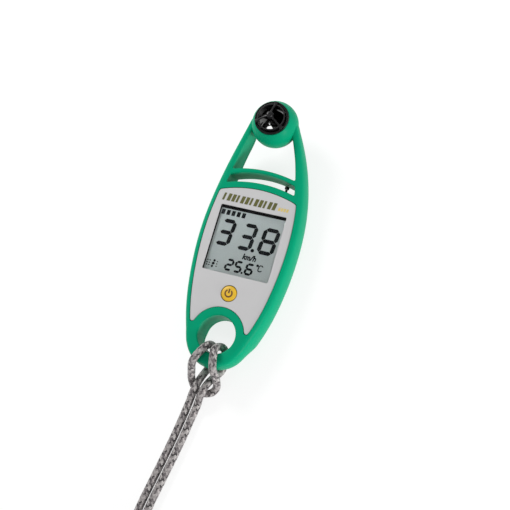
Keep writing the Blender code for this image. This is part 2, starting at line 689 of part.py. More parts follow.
def rotor():
    """The impeller on its axle, between two jewel bearings in the spiders' hubs."""
    bore = AXLE_R + GAP
    back, front = HEAD.z - 3.6, HEAD.z + 3.8
    hub = [(bore, back), (2.2, back), (2.2, front - 0.6), (1.7, front), (bore, front)]
    wheel = add("impeller", turned(hub, HEAD, 32))
    for number in range(BLADES):
        join(wheel, blade(IMPELLER_TURN + number * 2 * math.pi / BLADES))
    paint(wheel, "black_plastic")
    smooth(wheel)
    tip = AXLE_R * 0.6
    low = HEAD.z - axle_reach(REAR_PROUD)
    high = HEAD.z + axle_reach(FRONT_PROUD)
    pin = [(0, low), (tip, low + 0.1), (tip, low + 1.2), (AXLE_R, low + 1.5),
           (AXLE_R, high - 1.5), (tip, high - 1.2), (tip, high - 0.1), (0, high)]
    axle = add("axle", turned(pin, HEAD, 16), "steel")
    magnet = [(bore, HEAD.z - 5.4), (1.9, HEAD.z - 5.4), (1.9, HEAD.z - 3.9), (bore, HEAD.z - 3.9)]
    ring = add("rotor_magnet", turned(magnet, HEAD, 24), "magnet")
    for item in (wheel, axle, ring):
        hang_on(item, HEAD)
    bearings()


def axle_reach(proud):
    """From the rotor's centre to the end of the axle in a hub that stands this far out."""
    return BALL_HALF - 0.2 + proud - 1.6


def bearings():
    for name, side, proud in (("front_bearing", 1, FRONT_PROUD), ("rear_bearing", -1, REAR_PROUD)):
        reach = axle_reach(proud)
        far = HEAD.z + side * (reach + 0.3)
        near = HEAD.z + side * (reach - 0.9)
        floor = far - side * 0.15
        cup = [(0.55, near), (0.95, near), (0.95, far), (0, far), (0, floor), (0.55, floor)]
        add(name, turned(cup, HEAD, 16), "jewel")


def sensors():
    x, y, z = SENSOR_AT
    add("speed_sensor", block((x - 0.75, x + 0.95), (y - 1.0, y + 1.7), (z - 1.4, z + 1.4)), "dark_plastic")
    path = lead_path()
    tube("sensor_lead", path[:-1], 0.4, "dark_plastic", 1)
    stem = [(PROBE_X, 18.6, PROBE_Z), (PROBE_X, 27.6, PROBE_Z), (PROBE_X, 29.4, PROBE_Z)]
    add("temperature_probe", rod(stem[0], stem[1], 0.65, 16), "black_plastic")
    add("probe_tip", rod((PROBE_X, 27.6 + GAP, PROBE_Z), stem[2], 1.2, 16), "black_plastic")


# ---- cord ---------------------------------------------------------------------------------------------
def stadium(centre, run, radius, steps=16):
    """An outline of two straight runs along Y joined by round ends; centre is the upper end's."""
    x, y = centre
    upper = [(x + radius * math.cos(a), y + radius * math.sin(a)) for a in np.linspace(0, math.pi, steps)]
    lower = [(2 * x - px, 2 * y - run - py) for px, py in upper]
    return upper + lower


def lanyard():
    """A doubled cord hitched round the heel; its far length is wound up and tied, and ends in a knot."""
    tube("lanyard_cord", spline(HITCH, 76), CORD_R, "cord")
    add("lanyard_hank", prism(stadium((HANK_X, HANK_Y), HANK_RUN, HANK_TURN_R), *HANK_Z), "cord")
    knot = turned([(0, 1.0), (4.2, 1.6), (6.2, 4.2), (6.2, 6.6), (4.2, 9.2), (0, 9.8)], KNOT, 20)
    add("lanyard_knot", knot, "cord")
    inner, outer = HANK_TURN_R + GAP, HANK_TURN_R + GAP + TIE_THICK
    middle = HANK_Y - HANK_RUN / 2
    low, high = HANK_Z[0] - GAP, HANK_Z[1] + GAP
    band = add("hank_tie", block((HANK_X - outer, HANK_X + outer), (middle - TIE_HALF, middle + TIE_HALF),
                                 (0.1, high + TIE_THICK)))
    cut(band, block((HANK_X - inner, HANK_X + inner), (middle - 9, middle + 9), (low, high)))
    paint(band, "tie")


# ---- build ----------------------------------------------------------------------------------------------
def clear_scene():
    for item in list(bpy.data.objects):
        bpy.data.objects.remove(item)


def build():
    clear_scene()
    blank = straight_blank()
    front_housing(blank)
    rear_housing(blank)
    bpy.data.objects.remove(blank)
    faceplate()
    display()
    circuit()
    power_button()
    battery()
    battery_cap()
    fasteners()
    cartridge()
    spiders()
    rotor()
    sensors()
    lanyard()


build()
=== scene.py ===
"""Looks of a pocket vane anemometer: ball-shaped rotor head, display, finger hole and a braided cord.

It lies on its back: +Z out of the face, +Y towards the rotor head. Lengths in this script are millimetres,
which become metres where a mesh is made.
"""
import math

import bmesh
import bpy
import numpy as np
from mathutils import Matrix, Vector


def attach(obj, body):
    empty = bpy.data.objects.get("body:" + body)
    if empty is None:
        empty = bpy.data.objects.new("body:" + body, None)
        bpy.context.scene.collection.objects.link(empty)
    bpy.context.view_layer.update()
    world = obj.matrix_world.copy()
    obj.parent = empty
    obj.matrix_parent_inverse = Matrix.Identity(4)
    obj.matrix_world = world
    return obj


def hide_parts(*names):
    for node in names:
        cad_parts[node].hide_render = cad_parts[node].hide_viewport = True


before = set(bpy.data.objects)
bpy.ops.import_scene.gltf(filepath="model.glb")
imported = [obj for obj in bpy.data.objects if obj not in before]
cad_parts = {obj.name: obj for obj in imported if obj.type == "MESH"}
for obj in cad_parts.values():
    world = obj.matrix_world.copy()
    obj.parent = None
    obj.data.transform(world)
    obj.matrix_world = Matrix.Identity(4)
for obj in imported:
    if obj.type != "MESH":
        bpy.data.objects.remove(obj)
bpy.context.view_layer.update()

MM = 0.001
GAP = 0.3
THROUGH = (-5, 20)                          # heights that clear the straight casing on both sides
SIGNS = ((-1, -1), (1, -1), (1, 1), (-1, 1))    # a rectangle's corners

# ---- sizes shared with the frame ----
THICK = 15.0
EDGE = [(0, -68.9), (5.7, -67.9), (10.1, -65.2), (15.6, -55.5), (20.4, -40.5), (23.2, -25.0),
        (24.65, -6.0), (23.6, 14.5), (20.9, 29.5), (16.5, 44.5), (12.7, 55.0), (9.0, 61.5), (0, 65.0)]
SIDE = [(0, -0.6), (0.3, 0.0), (0.8, 0.75), (1.7, 1.4), (3.4, 1.85), (6.5, 2.08), (9.5, 1.75), (12.0, 1.18),
        (13.1, 0.75), (13.8, 0.3), (14.35, -0.3), (14.7, -0.85), (14.92, -1.45), (15, -2.1)]
PARTING, SEAM = 2.4, 0.4
WALL, FLOOR, CEILING = 2.5, 1.8, 12.4
FINGER_Y, FINGER_R, FINGER_BACK_R, HEEL_RISE = -53.7, 9.8, 9.4, 5.0
PLATE_INSET, PLATE_TOP, PLATE_THICK = 2.0, 14.7, 0.6
PLATE_APEX, PLATE_R, PLATE_FOOT_R, PLATE_TIP_Y = 23.2, 63.0, 14.2, -50.3
LCD_Y, LCD_W, LCD_H = -5.2, 35.8, 35.0
GLASS_TOP, GLASS_THICK = 12.9, 1.8
BUTTON_Y, BUTTON_R = -32.25, 4.0
HEAD = Vector((0, 57.3, 21.0))
BALL_R, BALL_HALF = 12.05, 7.9
TUBE_R, TUBE_WALL = 7.9, 0.5
FLANGE_R, FLANGE_THICK = 8.87, 0.9
HUB_R, FRONT_PROUD, REAR_PROUD, AXLE_R = 1.7, 6.3, 3.6, 0.5
BLADES, BLADE_R, BLADE_HALF = 6, 7.0, 3.3
IMPELLER_TURN = 0.35
SPIDER_TURN = math.radians(86)
SENSOR_AT = (-9.9, 56.4, 18.0)
CROSSBAR_BACK = 3.2
CELL_Y, CAP_R = -8.0, 12.0
SCREWS = [(0, 19.4), (-16.0, -31.5), (16.0, -31.5)]
BOSS_R = 2.2
PROBE_X, PROBE_Z = 12.3, 10.0
EDGE_ROUND = 0.9                            # rounding of the openings' edges

# ---- cord ----
CORD_R = 2.0
HANK_X, HANK_Y, HANK_RUN = -5.5, -171.0, 46.0
KNOT = (4.6, HANK_Y + 18.6, 5.4)
TIE_HALF = 4.0
HITCH = [(-17.6, -159.5, 3.0), (-17.4, -150.0, 2.3), (-15.2, -135.0, 2.1), (-12.4, -120.0, 2.1),
         (-9.9, -105.0, 2.1), (-8.2, -92.5, 2.2), (-7.3, -87.4, 3.3), (-6.4, -84.2, 5.5),
         (-5.4, -80.6, 6.7), (-4.6, -77.4, 6.6), (-3.9, -74.0, 5.0), (-3.1, -69.6, 2.6),
         (-2.9, -65.4, 2.1), (-2.8, -61.9, 2.9), (-2.6, -59.6, 5.6), (-2.4, -58.9, 9.3), (-2.4, -59.2, 13.5),
         (-2.8, -60.9, 17.5), (-4.2, -64.0, 19.2), (-6.0, -67.4, 19.1), (-7.5, -70.4, 16.4),
         (-8.4, -73.1, 11.8), (-9.1, -76.0, 7.2), (-8.9, -78.5, 4.1), (-7.5, -80.7, 2.5),
         (-5.0, -82.3, 2.2), (-1.8, -82.7, 2.2), (1.5, -81.9, 2.2), (3.9, -79.7, 3.3), (5.0, -76.9, 6.8),
         (4.8, -74.1, 11.4), (4.2, -71.8, 15.7), (3.8, -68.8, 19.0), (3.1, -65.0, 19.3),
         (2.3, -61.5, 17.9), (2.2, -59.4, 14.0), (2.8, -58.6, 9.3), (3.2, -59.1, 5.7), (3.8, -61.3, 2.8),
         (4.3, -65.2, 2.1), (4.1, -69.4, 2.5), (2.6, -73.0, 4.4), (0.7, -76.5, 6.2), (-0.4, -79.4, 6.8),
         (-1.4, -82.6, 6.6),
         (-2.3, -85.7, 5.1), (-3.0, -88.6, 2.9), (-3.9, -94.0, 2.1), (-5.4, -105.0, 2.1),
         (-7.9, -120.0, 2.1), (-10.7, -135.0, 2.1), (-12.9, -150.0, 2.3), (-13.1, -158.0, 3.0)]


# ---- numbers ----
def smooth_step(value):
    value = np.clip(value, 0, 1)
    return value * value * (3 - 2 * value)


def spline(points, count, closed=False):
    """An even walk along the smooth curve through the points: a cubic spline with equal second slopes."""
    points = np.array(points, float)
    if closed:
        points = np.vstack([points[-3:], points, points[:4]])
    steps = np.linalg.norm(np.diff(points, axis=0), axis=1)
    knots = np.concatenate([[0], np.cumsum(steps)])
    size = len(points)
    matrix = np.eye(size)
    right = np.zeros_like(points)
    for i in range(1, size - 1):
        before, after = steps[i - 1], steps[i]
        matrix[i, i - 1:i + 2] = before, 2 * (before + after), after
        slope_after = (points[i + 1] - points[i]) / after
        slope_before = (points[i] - points[i - 1]) / before
        right[i] = 6 * (slope_after - slope_before)
    curvature = np.linalg.solve(matrix, right)
    first, last = (3, size - 4) if closed else (0, size - 1)
    fine = np.linspace(knots[first], knots[last], max(3000, 3 * count))
    span = np.clip(np.searchsorted(knots, fine, side="right") - 1, 0, size - 2)
    width = steps[span][:, None]
    left = (knots[span + 1] - fine)[:, None] / width
    rest = 1 - left
    walk = left * points[span] + rest * points[span + 1]
    walk += ((left**3 - left) * curvature[span] + (rest**3 - rest) * curvature[span + 1]) * width**2 / 6
    length = np.concatenate([[0], np.cumsum(np.linalg.norm(np.diff(walk, axis=0), axis=1))])
    stops = np.linspace(0, length[-1], count + 1 if closed else count)
    even = np.column_stack([np.interp(stops, length, walk[:, k]) for k in range(walk.shape[1])])
    return even[:-1] if closed else even


def resampled(outline, count):
    """The same closed outline with its points evenly spaced."""
    loop = np.vstack([outline, outline[:1]])
    length = np.concatenate([[0], np.cumsum(np.linalg.norm(np.diff(loop, axis=0), axis=1))])
    stops = np.linspace(0, length[-1], count + 1)[:-1]
    return np.column_stack([np.interp(stops, length, loop[:, k]) for k in range(2)])


def softened(outline, count, passes):
    """A closed outline with its corners rounded off."""
    loop = resampled(np.array(outline, float), count)
    for _ in range(passes):
        loop = (np.roll(loop, 1, 0) + 2 * loop + np.roll(loop, -1, 0)) / 4
    return loop


def circle(centre, radius, steps, start=0.0):
    angles = start + np.arange(steps) * 2 * math.pi / steps
    return np.column_stack([centre[0] + radius * np.cos(angles), centre[1] + radius * np.sin(angles)])


def arc_drop(x, radius):
    return radius - math.sqrt(radius * radius - x * x)


def offset(loop, distance):
    """A closed anticlockwise outline pushed outwards; distance may differ from point to point."""
    tangent = np.roll(loop, -1, 0) - np.roll(loop, 1, 0)
    tangent /= np.linalg.norm(tangent, axis=1)[:, None]
    normal = np.column_stack([tangent[:, 1], -tangent[:, 0]])
    return loop + normal * np.reshape(distance, (-1, 1))


def casing_edge(steps=260):
    left = [(-x, y) for x, y in EDGE[-2:0:-1]]
    return spline(EDGE + left, steps, closed=True)


def rear_height(y):
    arms = 0.0058 * max(y - 11.0, 0)**2 + 0.03 * max(min(y, HEAD.y) - 46.0, 0)**2
    heel = HEEL_RISE * float(smooth_step((-52.5 - y) / 8.5))
    return min(arms, 16.0) + heel


def front_height(y):
    y = min(y, HEAD.y)
    return THICK + 0.0043 * max(y - 11.0, 0)**2 + 0.0014 * min(y + 31.1, 0)**2


def swept(y, z):
    """Where a height in the straight casing goes in the swept one."""
    low = rear_height(y)
    return low + (front_height(y) - low) * z / THICK


# ---- meshes ----
def add(name, geometry, finish=None):
    """A mesh object from a bmesh in millimetres."""
    bmesh.ops.scale(geometry, vec=(MM, MM, MM), verts=geometry.verts)
    bmesh.ops.recalc_face_normals(geometry, faces=geometry.faces)
    mesh = bpy.data.meshes.new(name)
    geometry.to_mesh(mesh)
    geometry.free()
    item = bpy.data.objects.new(name, mesh)
    bpy.context.scene.collection.objects.link(item)
    if finish:
        paint(item, finish)
    return item


def paint(item, finish):
    item.data.materials.clear()
    item.data.materials.append(MATERIALS[finish])


def smooth(item, degrees=35, weighted=True):
    item.data.shade_smooth()
    item.data.set_sharp_from_angle(angle=math.radians(degrees))
    if weighted:
        change = item.modifiers.new("even_shading", "WEIGHTED_NORMAL")
        change.keep_sharp = True
        change.weight = 100


def loft(rings, closed=False):
    """A body through rings of points, with flat ends unless its last ring meets its first."""
    shape = bmesh.new()
    rows = [[shape.verts.new(point) for point in ring] for ring in rings]
    size = len(rows[0])
    pairs = list(zip(rows, rows[1:] + rows[:1])) if closed else list(zip(rows, rows[1:]))
    for low, high in pairs:
        for i in range(size):
            shape.faces.new((low[i], low[(i + 1) % size], high[(i + 1) % size], high[i]))
    if not closed:
        shape.faces.new(rows[0][::-1])
        shape.faces.new(rows[-1])
    return shape


def prism(outline, low, high):
    return loft([[(x, y, z) for x, y in outline] for z in (low, high)])


def bevelled(outline, low, high, bevel, both=True):
    """A prism with a small round on its upper, or both, edges."""
    outline = np.array(outline, float)
    turns = np.linspace(0, math.pi / 2, 4)
    rises = [(high - bevel + bevel * math.sin(a), bevel * (1 - math.cos(a))) for a in turns]
    falls = [(low + bevel - bevel * math.sin(a), bevel * (1 - math.cos(a))) for a in turns[::-1]]
    levels = (falls if both else [(low, 0)]) + rises
    return loft([[(x, y, z) for x, y in offset(outline, -inset)] for z, inset in levels])


def flared(outline, low, high, bevel):
    """A cutter whose opening widens into rounded edges at its two surfaces, low and high."""
    outline = np.array(outline, float)
    turns = np.linspace(0, math.pi / 2, 6)
    up = [(high - bevel + bevel * math.sin(a), bevel * (1 - math.cos(a))) for a in turns]
    down = [(low + bevel - bevel * math.sin(a), bevel * (1 - math.cos(a))) for a in turns[::-1]]
    levels = [(low - 5, bevel)] + down + up + [(high + 5, bevel)]
    return loft([[(x, y, z) for x, y in offset(outline, grow)] for z, grow in levels])


def block(x, y, z):
    return prism([(x[0], y[0]), (x[1], y[0]), (x[1], y[1]), (x[0], y[1])], *z)


def disc(centre, radius, low, high, steps=48):
    return prism(circle(centre, radius, steps, 0.031), low, high)


def turned(profile, centre, steps=64):
    """A body turned about a vertical axis from a closed profile of (radius, height) points."""
    shape = bmesh.new()
    verts = [shape.verts.new((centre[0] + r, centre[1], z)) for r, z in profile]
    edges = [shape.edges.new((a, b)) for a, b in zip(verts, verts[1:] + verts[:1])]
    bmesh.ops.spin(shape, geom=verts + edges, cent=(centre[0], centre[1], 0), axis=(0, 0, 1),
                   angle=2 * math.pi, steps=steps, use_merge=True)
    bmesh.ops.remove_doubles(shape, verts=shape.verts, dist=1e-4)
    return shape


def rod(start, end, radius, steps=24):
    start, end = Vector(start), Vector(end)
    along = (end - start).normalized()
    side = along.cross(Vector((0, 0, 1)) if abs(along.z) < 0.9 else Vector((1, 0, 0))).normalized()
    other = along.cross(side)
    ring = [side * math.cos(a) * radius + other * math.sin(a) * radius
            for a in np.arange(steps) * 2 * math.pi / steps]
    return loft([[start + p for p in ring], [end + p for p in ring]])


def bake(item):
    """Take the evaluated mesh as the object's own and drop the modifiers."""
    graph = bpy.context.evaluated_depsgraph_get()
    mesh = bpy.data.meshes.new_from_object(item.evaluated_get(graph))
    item.modifiers.clear()
    item.data = mesh


def combine(item, tool, operation):
    """Boolean the tool into the item; the tool is used up."""
    if isinstance(tool, bmesh.types.BMesh):
        tool = add("tool", tool)
    change = item.modifiers.new(operation, "BOOLEAN")
    change.operation = operation
    change.solver = "EXACT"
    change.object = tool
    bpy.context.view_layer.update()
    bake(item)
    bpy.data.objects.remove(tool)
    return item


def cut(item, *tools):
    for tool in tools:
        combine(item, tool, "DIFFERENCE")
    return item


def join(item, *tools):
    for tool in tools:
        combine(item, tool, "UNION")
    return item


def duplicate(item, name):
    copy = item.copy()
    copy.data = item.data.copy()
    copy.name = name
    bpy.context.scene.collection.objects.link(copy)
    return copy


def slice_across(shape, shift=0.0):
    """Cut edges across a shape wherever the swept casing bends."""
    for y in np.array([*np.arange(-66, -44, 1.75), *np.arange(11.5, 56.5, 1.5), 56.9]) + shift:
        every = shape.verts[:] + shape.edges[:] + shape.faces[:]
        bmesh.ops.bisect_plane(shape, geom=every, plane_co=(0, y * MM, 0), plane_no=(0, 1, 0), dist=1e-7)
    bmesh.ops.triangulate(shape, faces=shape.faces)


def sweep(item):
    """Slice a straight casing piece across its length, then carry each slice to its swept height."""
    shape = bmesh.new()
    shape.from_mesh(item.data)
    slice_across(shape)
    for vert in shape.verts:
        vert.co.z = swept(vert.co.y / MM, vert.co.z / MM) * MM
    shape.to_mesh(item.data)
    shape.free()


def merged(name, shapes, finish):
    """One object of several closed shapes that don't touch."""
    whole = bmesh.new()
    for shape in shapes:
        part = bpy.data.meshes.new("part")
        shape.to_mesh(part)
        shape.free()
        whole.from_mesh(part)
        bpy.data.meshes.remove(part)
    return add(name, whole, finish)


def finished(item, body, slot, *nodes):
    """Fix a piece to its body and hide the frame's nodes that it stands for; the slot is not used."""
    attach(item, body)
    if nodes:
        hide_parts(*nodes)
    return item


# ---- materials ----
def new_material(name):
    material = bpy.data.materials.new(name)
    material.use_nodes = True
    return material, material.node_tree.nodes, material.node_tree.links


def set_inputs(node, **values):
    """Constants on a node's sockets, whose names have spaces for underscores."""
    for socket, value in values.items():
        node.inputs[socket.replace("_", " ")].default_value = value


def noise(nodes, links, where, scale, detail=2.0, rough=0.5, stretch=None):
    texture = nodes.new("ShaderNodeTexNoise")
    set_inputs(texture, Scale=scale, Detail=detail, Roughness=rough)
    if stretch:
        mapping = nodes.new("ShaderNodeMapping")
        mapping.inputs["Scale"].default_value = stretch
        links.new(where, mapping.inputs["Vector"])
        where = mapping.outputs["Vector"]
    links.new(where, texture.inputs["Vector"])
    return texture.outputs["Fac"]


def ramp(nodes, links, value, stops, constant=False):
    node = nodes.new("ShaderNodeValToRGB")
    if constant:
        node.color_ramp.interpolation = "CONSTANT"
    elements = node.color_ramp.elements
    while len(elements) < len(stops):
        elements.new(0.5)
    for element, (place, colour) in zip(elements, stops):
        element.position = place
        element.color = (*colour, 1)
    links.new(value, node.inputs["Fac"])
    return node.outputs["Color"]


def spread(nodes, links, value, low, high):
    node = nodes.new("ShaderNodeMapRange")
    set_inputs(node, From_Min=0.3, From_Max=0.7, To_Min=low, To_Max=high)
    links.new(value, node.inputs["Value"])
    return node.outputs["Result"]


def raised(nodes, links, value, height, strength, below=None):
    node = nodes.new("ShaderNodeBump")
    set_inputs(node, Distance=height * MM, Strength=strength)
    links.new(value, node.inputs["Height"])
    if below:
        links.new(below, node.inputs["Normal"])
    return node.outputs["Normal"]


def tinted(colour, factor):
    return tuple(min(1.0, c * factor) for c in colour)


def surface(name, colour, rough, metal=0.0, mottle=0.05, grain=3500.0, depth=0.012, patch=60.0, gloss=0.04,
            stretch=None, **sockets):
    """A moulded or worked surface: faint mottling, uneven gloss and a fine grain."""
    material, nodes, links = new_material(name)
    shader = nodes["Principled BSDF"]
    where = nodes.new("ShaderNodeTexCoord").outputs["Object"]
    mottling = noise(nodes, links, where, patch, 4.0, 0.6, stretch)
    stops = [(0.3, tinted(colour, 1 - mottle)), (0.7, tinted(colour, 1 + mottle))]
    links.new(ramp(nodes, links, mottling, stops), shader.inputs["Base Color"])
    sheen = noise(nodes, links, where, patch * 4.7, 3.0, 0.6, stretch)
    links.new(spread(nodes, links, sheen, rough - gloss, rough + gloss), shader.inputs["Roughness"])
    fine = noise(nodes, links, where, grain, 2.0, 0.5, stretch)
    links.new(raised(nodes, links, fine, depth, 0.6), shader.inputs["Normal"])
    set_inputs(shader, Metallic=metal, **sockets)
    return material


def braid_material():
    """Cord yarns of black, grey and pale threads, told apart by their place in the braid."""
    material, nodes, links = new_material("braided_cord")
    shader = nodes["Principled BSDF"]
    place = nodes.new("ShaderNodeAttribute")
    place.attribute_name = "braid"
    split = nodes.new("ShaderNodeSeparateXYZ")
    links.new(place.outputs["Vector"], split.inputs["Vector"])

    def calc(operation, first, second=None):
        node = nodes.new("ShaderNodeMath")
        node.operation = operation
        for socket, value in zip(node.inputs, (first, second)):
            if isinstance(value, (int, float)):
                socket.default_value = value
            elif value is not None:
                links.new(value, socket)
        return node.outputs["Value"]

    left = calc("ADD", split.outputs["X"], split.outputs["Y"])
    right = calc("SUBTRACT", split.outputs["X"], split.outputs["Y"])
    row, column = calc("FLOOR", left), calc("FLOOR", right)
    over = calc("LESS_THAN", calc("FLOORED_MODULO", calc("ADD", row, column), 4.0), 2.0)
    under = calc("SUBTRACT", 1.0, over)
    row_yarn = calc("FLOORED_MODULO", row, float(YARNS))
    column_yarn = calc("ADD", calc("FLOORED_MODULO", column, float(YARNS)), 20.0)
    yarn = calc("ADD", calc("MULTIPLY", over, row_yarn), calc("MULTIPLY", under, column_yarn))
    pick = nodes.new("ShaderNodeTexWhiteNoise")
    pick.noise_dimensions = "1D"
    links.new(yarn, pick.inputs["W"])
    where = nodes.new("ShaderNodeTexCoord").outputs["Object"]
    fibres = noise(nodes, links, where, 5200.0, 3.0, 0.6)
    worn = calc("ADD", pick.outputs["Value"], calc("MULTIPLY", calc("SUBTRACT", fibres, 0.5), 0.12))
    stops = [(0.0, (0.045, 0.04, 0.042)), (0.2, (0.16, 0.14, 0.145)), (0.38, (0.34, 0.315, 0.31)),
             (0.6, (0.46, 0.43, 0.42)), (0.8, (0.62, 0.59, 0.57)), (0.93, (0.40, 0.24, 0.26))]
    colour = ramp(nodes, links, worn, stops, constant=True)
    mix = nodes.new("ShaderNodeMix")
    mix.data_type = "RGBA"
    mix.blend_type = "MULTIPLY"
    mix.inputs["Factor"].default_value = 0.6
    links.new(colour, mix.inputs["A"])
    shading = [(0.3, (0.55, 0.55, 0.56)), (0.7, (1.0, 1.0, 1.0))]
    links.new(ramp(nodes, links, fibres, shading), mix.inputs["B"])
    links.new(mix.outputs["Result"], shader.inputs["Base Color"])
    set_inputs(shader, Roughness=0.78, Sheen_Weight=0.25, Sheen_Roughness=0.5)
    links.new(raised(nodes, links, fibres, 0.05, 0.7), shader.inputs["Normal"])
    return material


def strap_material():
    """A dark woven strap."""
    material, nodes, links = new_material("woven_strap")
    shader = nodes["Principled BSDF"]
    where = nodes.new("ShaderNodeTexCoord").outputs["Object"]
    weave = nodes.new("ShaderNodeTexWave")
    weave.wave_type = "BANDS"
    weave.bands_direction = "Y"
    set_inputs(weave, Scale=500.0, Distortion=1.5)
    links.new(where, weave.inputs["Vector"])
    stops = [(0.2, (0.012, 0.012, 0.013)), (0.8, (0.045, 0.045, 0.048))]
    links.new(ramp(nodes, links, weave.outputs["Fac"], stops), shader.inputs["Base Color"])
    set_inputs(shader, Roughness=0.85)
    links.new(raised(nodes, links, weave.outputs["Fac"], 0.08, 0.8), shader.inputs["Normal"])
    return material


def display_material():
    """The display cell's polariser: grey-green, with painted shade that makes it a little darker towards its
    lower right corner.
    """
    material, nodes, links = new_material("display_cell")
    shader = nodes["Principled BSDF"]
    where = nodes.new("ShaderNodeTexCoord").outputs["Object"]
    split = nodes.new("ShaderNodeSeparateXYZ")
    links.new(where, split.inputs["Vector"])
    # painted shade: a gradient that darkens the colour towards the lower right corner
    slope = nodes.new("ShaderNodeMath")
    slope.operation = "MULTIPLY_ADD"
    slope.inputs[1].default_value = -0.55
    links.new(split.outputs["X"], slope.inputs[0])
    links.new(split.outputs["Y"], slope.inputs[2])
    painted_shade_ramp = nodes.new("ShaderNodeMapRange")
    set_inputs(painted_shade_ramp, From_Min=-32.0 * MM, From_Max=21.0 * MM)
    links.new(slope.outputs["Value"], painted_shade_ramp.inputs["Value"])
    stops = [(0.0, (0.46, 0.50, 0.49)), (1.0, (0.60, 0.655, 0.655))]
    links.new(ramp(nodes, links, painted_shade_ramp.outputs["Result"], stops), shader.inputs["Base Color"])
    set_inputs(shader, Roughness=0.35)
    fine = noise(nodes, links, where, 6000.0)
    links.new(raised(nodes, links, fine, 0.004, 0.5), shader.inputs["Normal"])
    return material


YARNS = 12
MATERIALS = {
    "green_plastic": surface("moulded_green", (0.0015, 0.345, 0.175), 0.36, mottle=0.035, depth=0.02,
                             grain=2600.0,
                             Specular_IOR_Level=0.04),
    "grey_plastic": surface("faceplate_grey", (0.60, 0.595, 0.60), 0.5, mottle=0.02, depth=0.012,
                            grain=4200.0),
    "yellow_plastic": surface("button_yellow", (0.82, 0.50, 0.02), 0.42, mottle=0.06, patch=220.0),
    "mark_brown": surface("button_mark", (0.13, 0.05, 0.008), 0.5, mottle=0.05, patch=400.0),
    "mark_olive": surface("printed_olive", (0.10, 0.10, 0.012), 0.5, mottle=0.12, patch=500.0),
    "mark_yellow": surface("printed_yellow", (0.72, 0.55, 0.16), 0.5, mottle=0.06, patch=500.0),
    "black_plastic": surface("glossy_black", (0.003, 0.003, 0.0035), 0.2, mottle=0.1, depth=0.006,
                             Specular_IOR_Level=0.25),
    "dark_plastic": surface("charcoal_plastic", (0.008, 0.008, 0.009), 0.3, mottle=0.1, depth=0.012,
                            Specular_IOR_Level=0.35),
    "white_plastic": surface("white_plastic", (0.75, 0.75, 0.73), 0.5),
    "rubber": surface("rubber", (0.02, 0.02, 0.021), 0.75, mottle=0.15, depth=0.03),
    "silicone": surface("contact_silicone", (0.3, 0.3, 0.32), 0.65, mottle=0.2, patch=900.0,
                        stretch=(1.0, 0.05, 0.05)),
    "circuit_board": surface("circuit_board", (0.012, 0.14, 0.05), 0.4, mottle=0.3, patch=180.0, depth=0.03),
    "steel": surface("brushed_steel", (0.58, 0.58, 0.6), 0.28, metal=1.0, mottle=0.06, patch=400.0,
                     stretch=(1.0, 12.0, 1.0)),
    "brass": surface("plated_brass", (0.72, 0.52, 0.22), 0.3, metal=1.0, mottle=0.08, patch=300.0),
    "jewel": surface("jewel", (0.45, 0.01, 0.04), 0.12, mottle=0.2, patch=900.0, depth=0.002),
    "magnet": surface("magnet", (0.2, 0.2, 0.21), 0.4, metal=1.0, mottle=0.15, patch=500.0),
    "clear_plastic": surface("clear_window", (0.96, 0.98, 0.98), 0.05, mottle=0.005, depth=0.001, gloss=0.02,
                             Transmission_Weight=1.0, IOR=1.12),
    "segments": surface("display_segments", (0.006, 0.007, 0.009), 0.5, mottle=0.1, patch=700.0, depth=0.002,
                        Specular_IOR_Level=0.15),
    # black of the display mask: partly the display's dark border, partly painted shadow along the window's
    # top edge
    "mask_and_painted_shadow": surface("display_mask_and_painted_shadow", (0.006, 0.006, 0.007), 0.5, mottle=0.1, patch=700.0, depth=0.004,
                    Specular_IOR_Level=0.15),
    "display_glass": display_material(),
    "cord": braid_material(),
    "tie": strap_material(),
}


# ---- outlines ----
def inside_outline(inset, grow=0.0, fine=1):
    """The faceplate's outline family: inset from the casing edge, between the top arc and the finger hole."""
    foot_r = PLATE_FOOT_R - grow
    top_r = PLATE_R + grow
    top_centre = PLATE_APEX - PLATE_R
    tip_y = PLATE_TIP_Y - grow
    edge = [(x, y) for x, y in offset(casing_edge(2400), -inset) if x > 0 and y > tip_y
            and math.hypot(x, y - FINGER_Y) > foot_r and math.hypot(x, y - top_centre) < top_r]
    side = [edge[int(i)] for i in np.linspace(0, len(edge) - 1, 22 * fine)]
    tip_angle = math.acos((tip_y - FINGER_Y) / foot_r)
    foot_angle = min(tip_angle, math.atan2(side[0][0], side[0][1] - FINGER_Y) - 0.04)
    foot = [(foot_r * math.sin(a), FINGER_Y + foot_r * math.cos(a))
            for a in np.linspace(-foot_angle, foot_angle, 19 * fine)]
    top_angle = math.atan2(side[-1][0], side[-1][1] - top_centre) - 0.01
    top = [(top_r * math.sin(a), top_centre + top_r * math.cos(a))
           for a in np.linspace(top_angle, -top_angle, 17 * fine)]
    mirrored = [(-x, y) for x, y in side[::-1]]
    return np.array(side + top + mirrored + foot)


def arc(half, apex, fall, steps=14):
    radius = (half * half + fall * fall) / (2 * fall)
    return [(x, apex - arc_drop(x, radius)) for x in np.linspace(-half, half, steps)]


def slot_outline():
    return arc(18.6, 26.6, 2.6, 40) + arc(17.8, 31.7, 3.0, 40)[::-1]


def window_outline():
    right = [(16.0, 36.5), (14.95, 40.5), (13.65, 44.5), (12.4, 48.0), (11.1, 51.5), (9.5, 55.5),
             (7.6, 60.0), (6.6, 66.0)]
    left = [(-x, y) for x, y in right[::-1]]
    return arc(17.2, 33.6, 2.2, 40) + right + left


def bar_back_outline():
    return arc(17.9, 31.2, 3.0, 40) + arc(17.0, 34.1, 2.6, 40)[::-1]


# ---- casing ----
def side_offsets(loop, amount):
    heel = 0.8 + 0.2 * smooth_step((loop[:, 1] + 70) / 25)
    head = 0.5 + 0.5 * smooth_step((62 - loop[:, 1]) / 25)
    return amount * heel * head if amount > 0 else np.full(len(loop), amount)


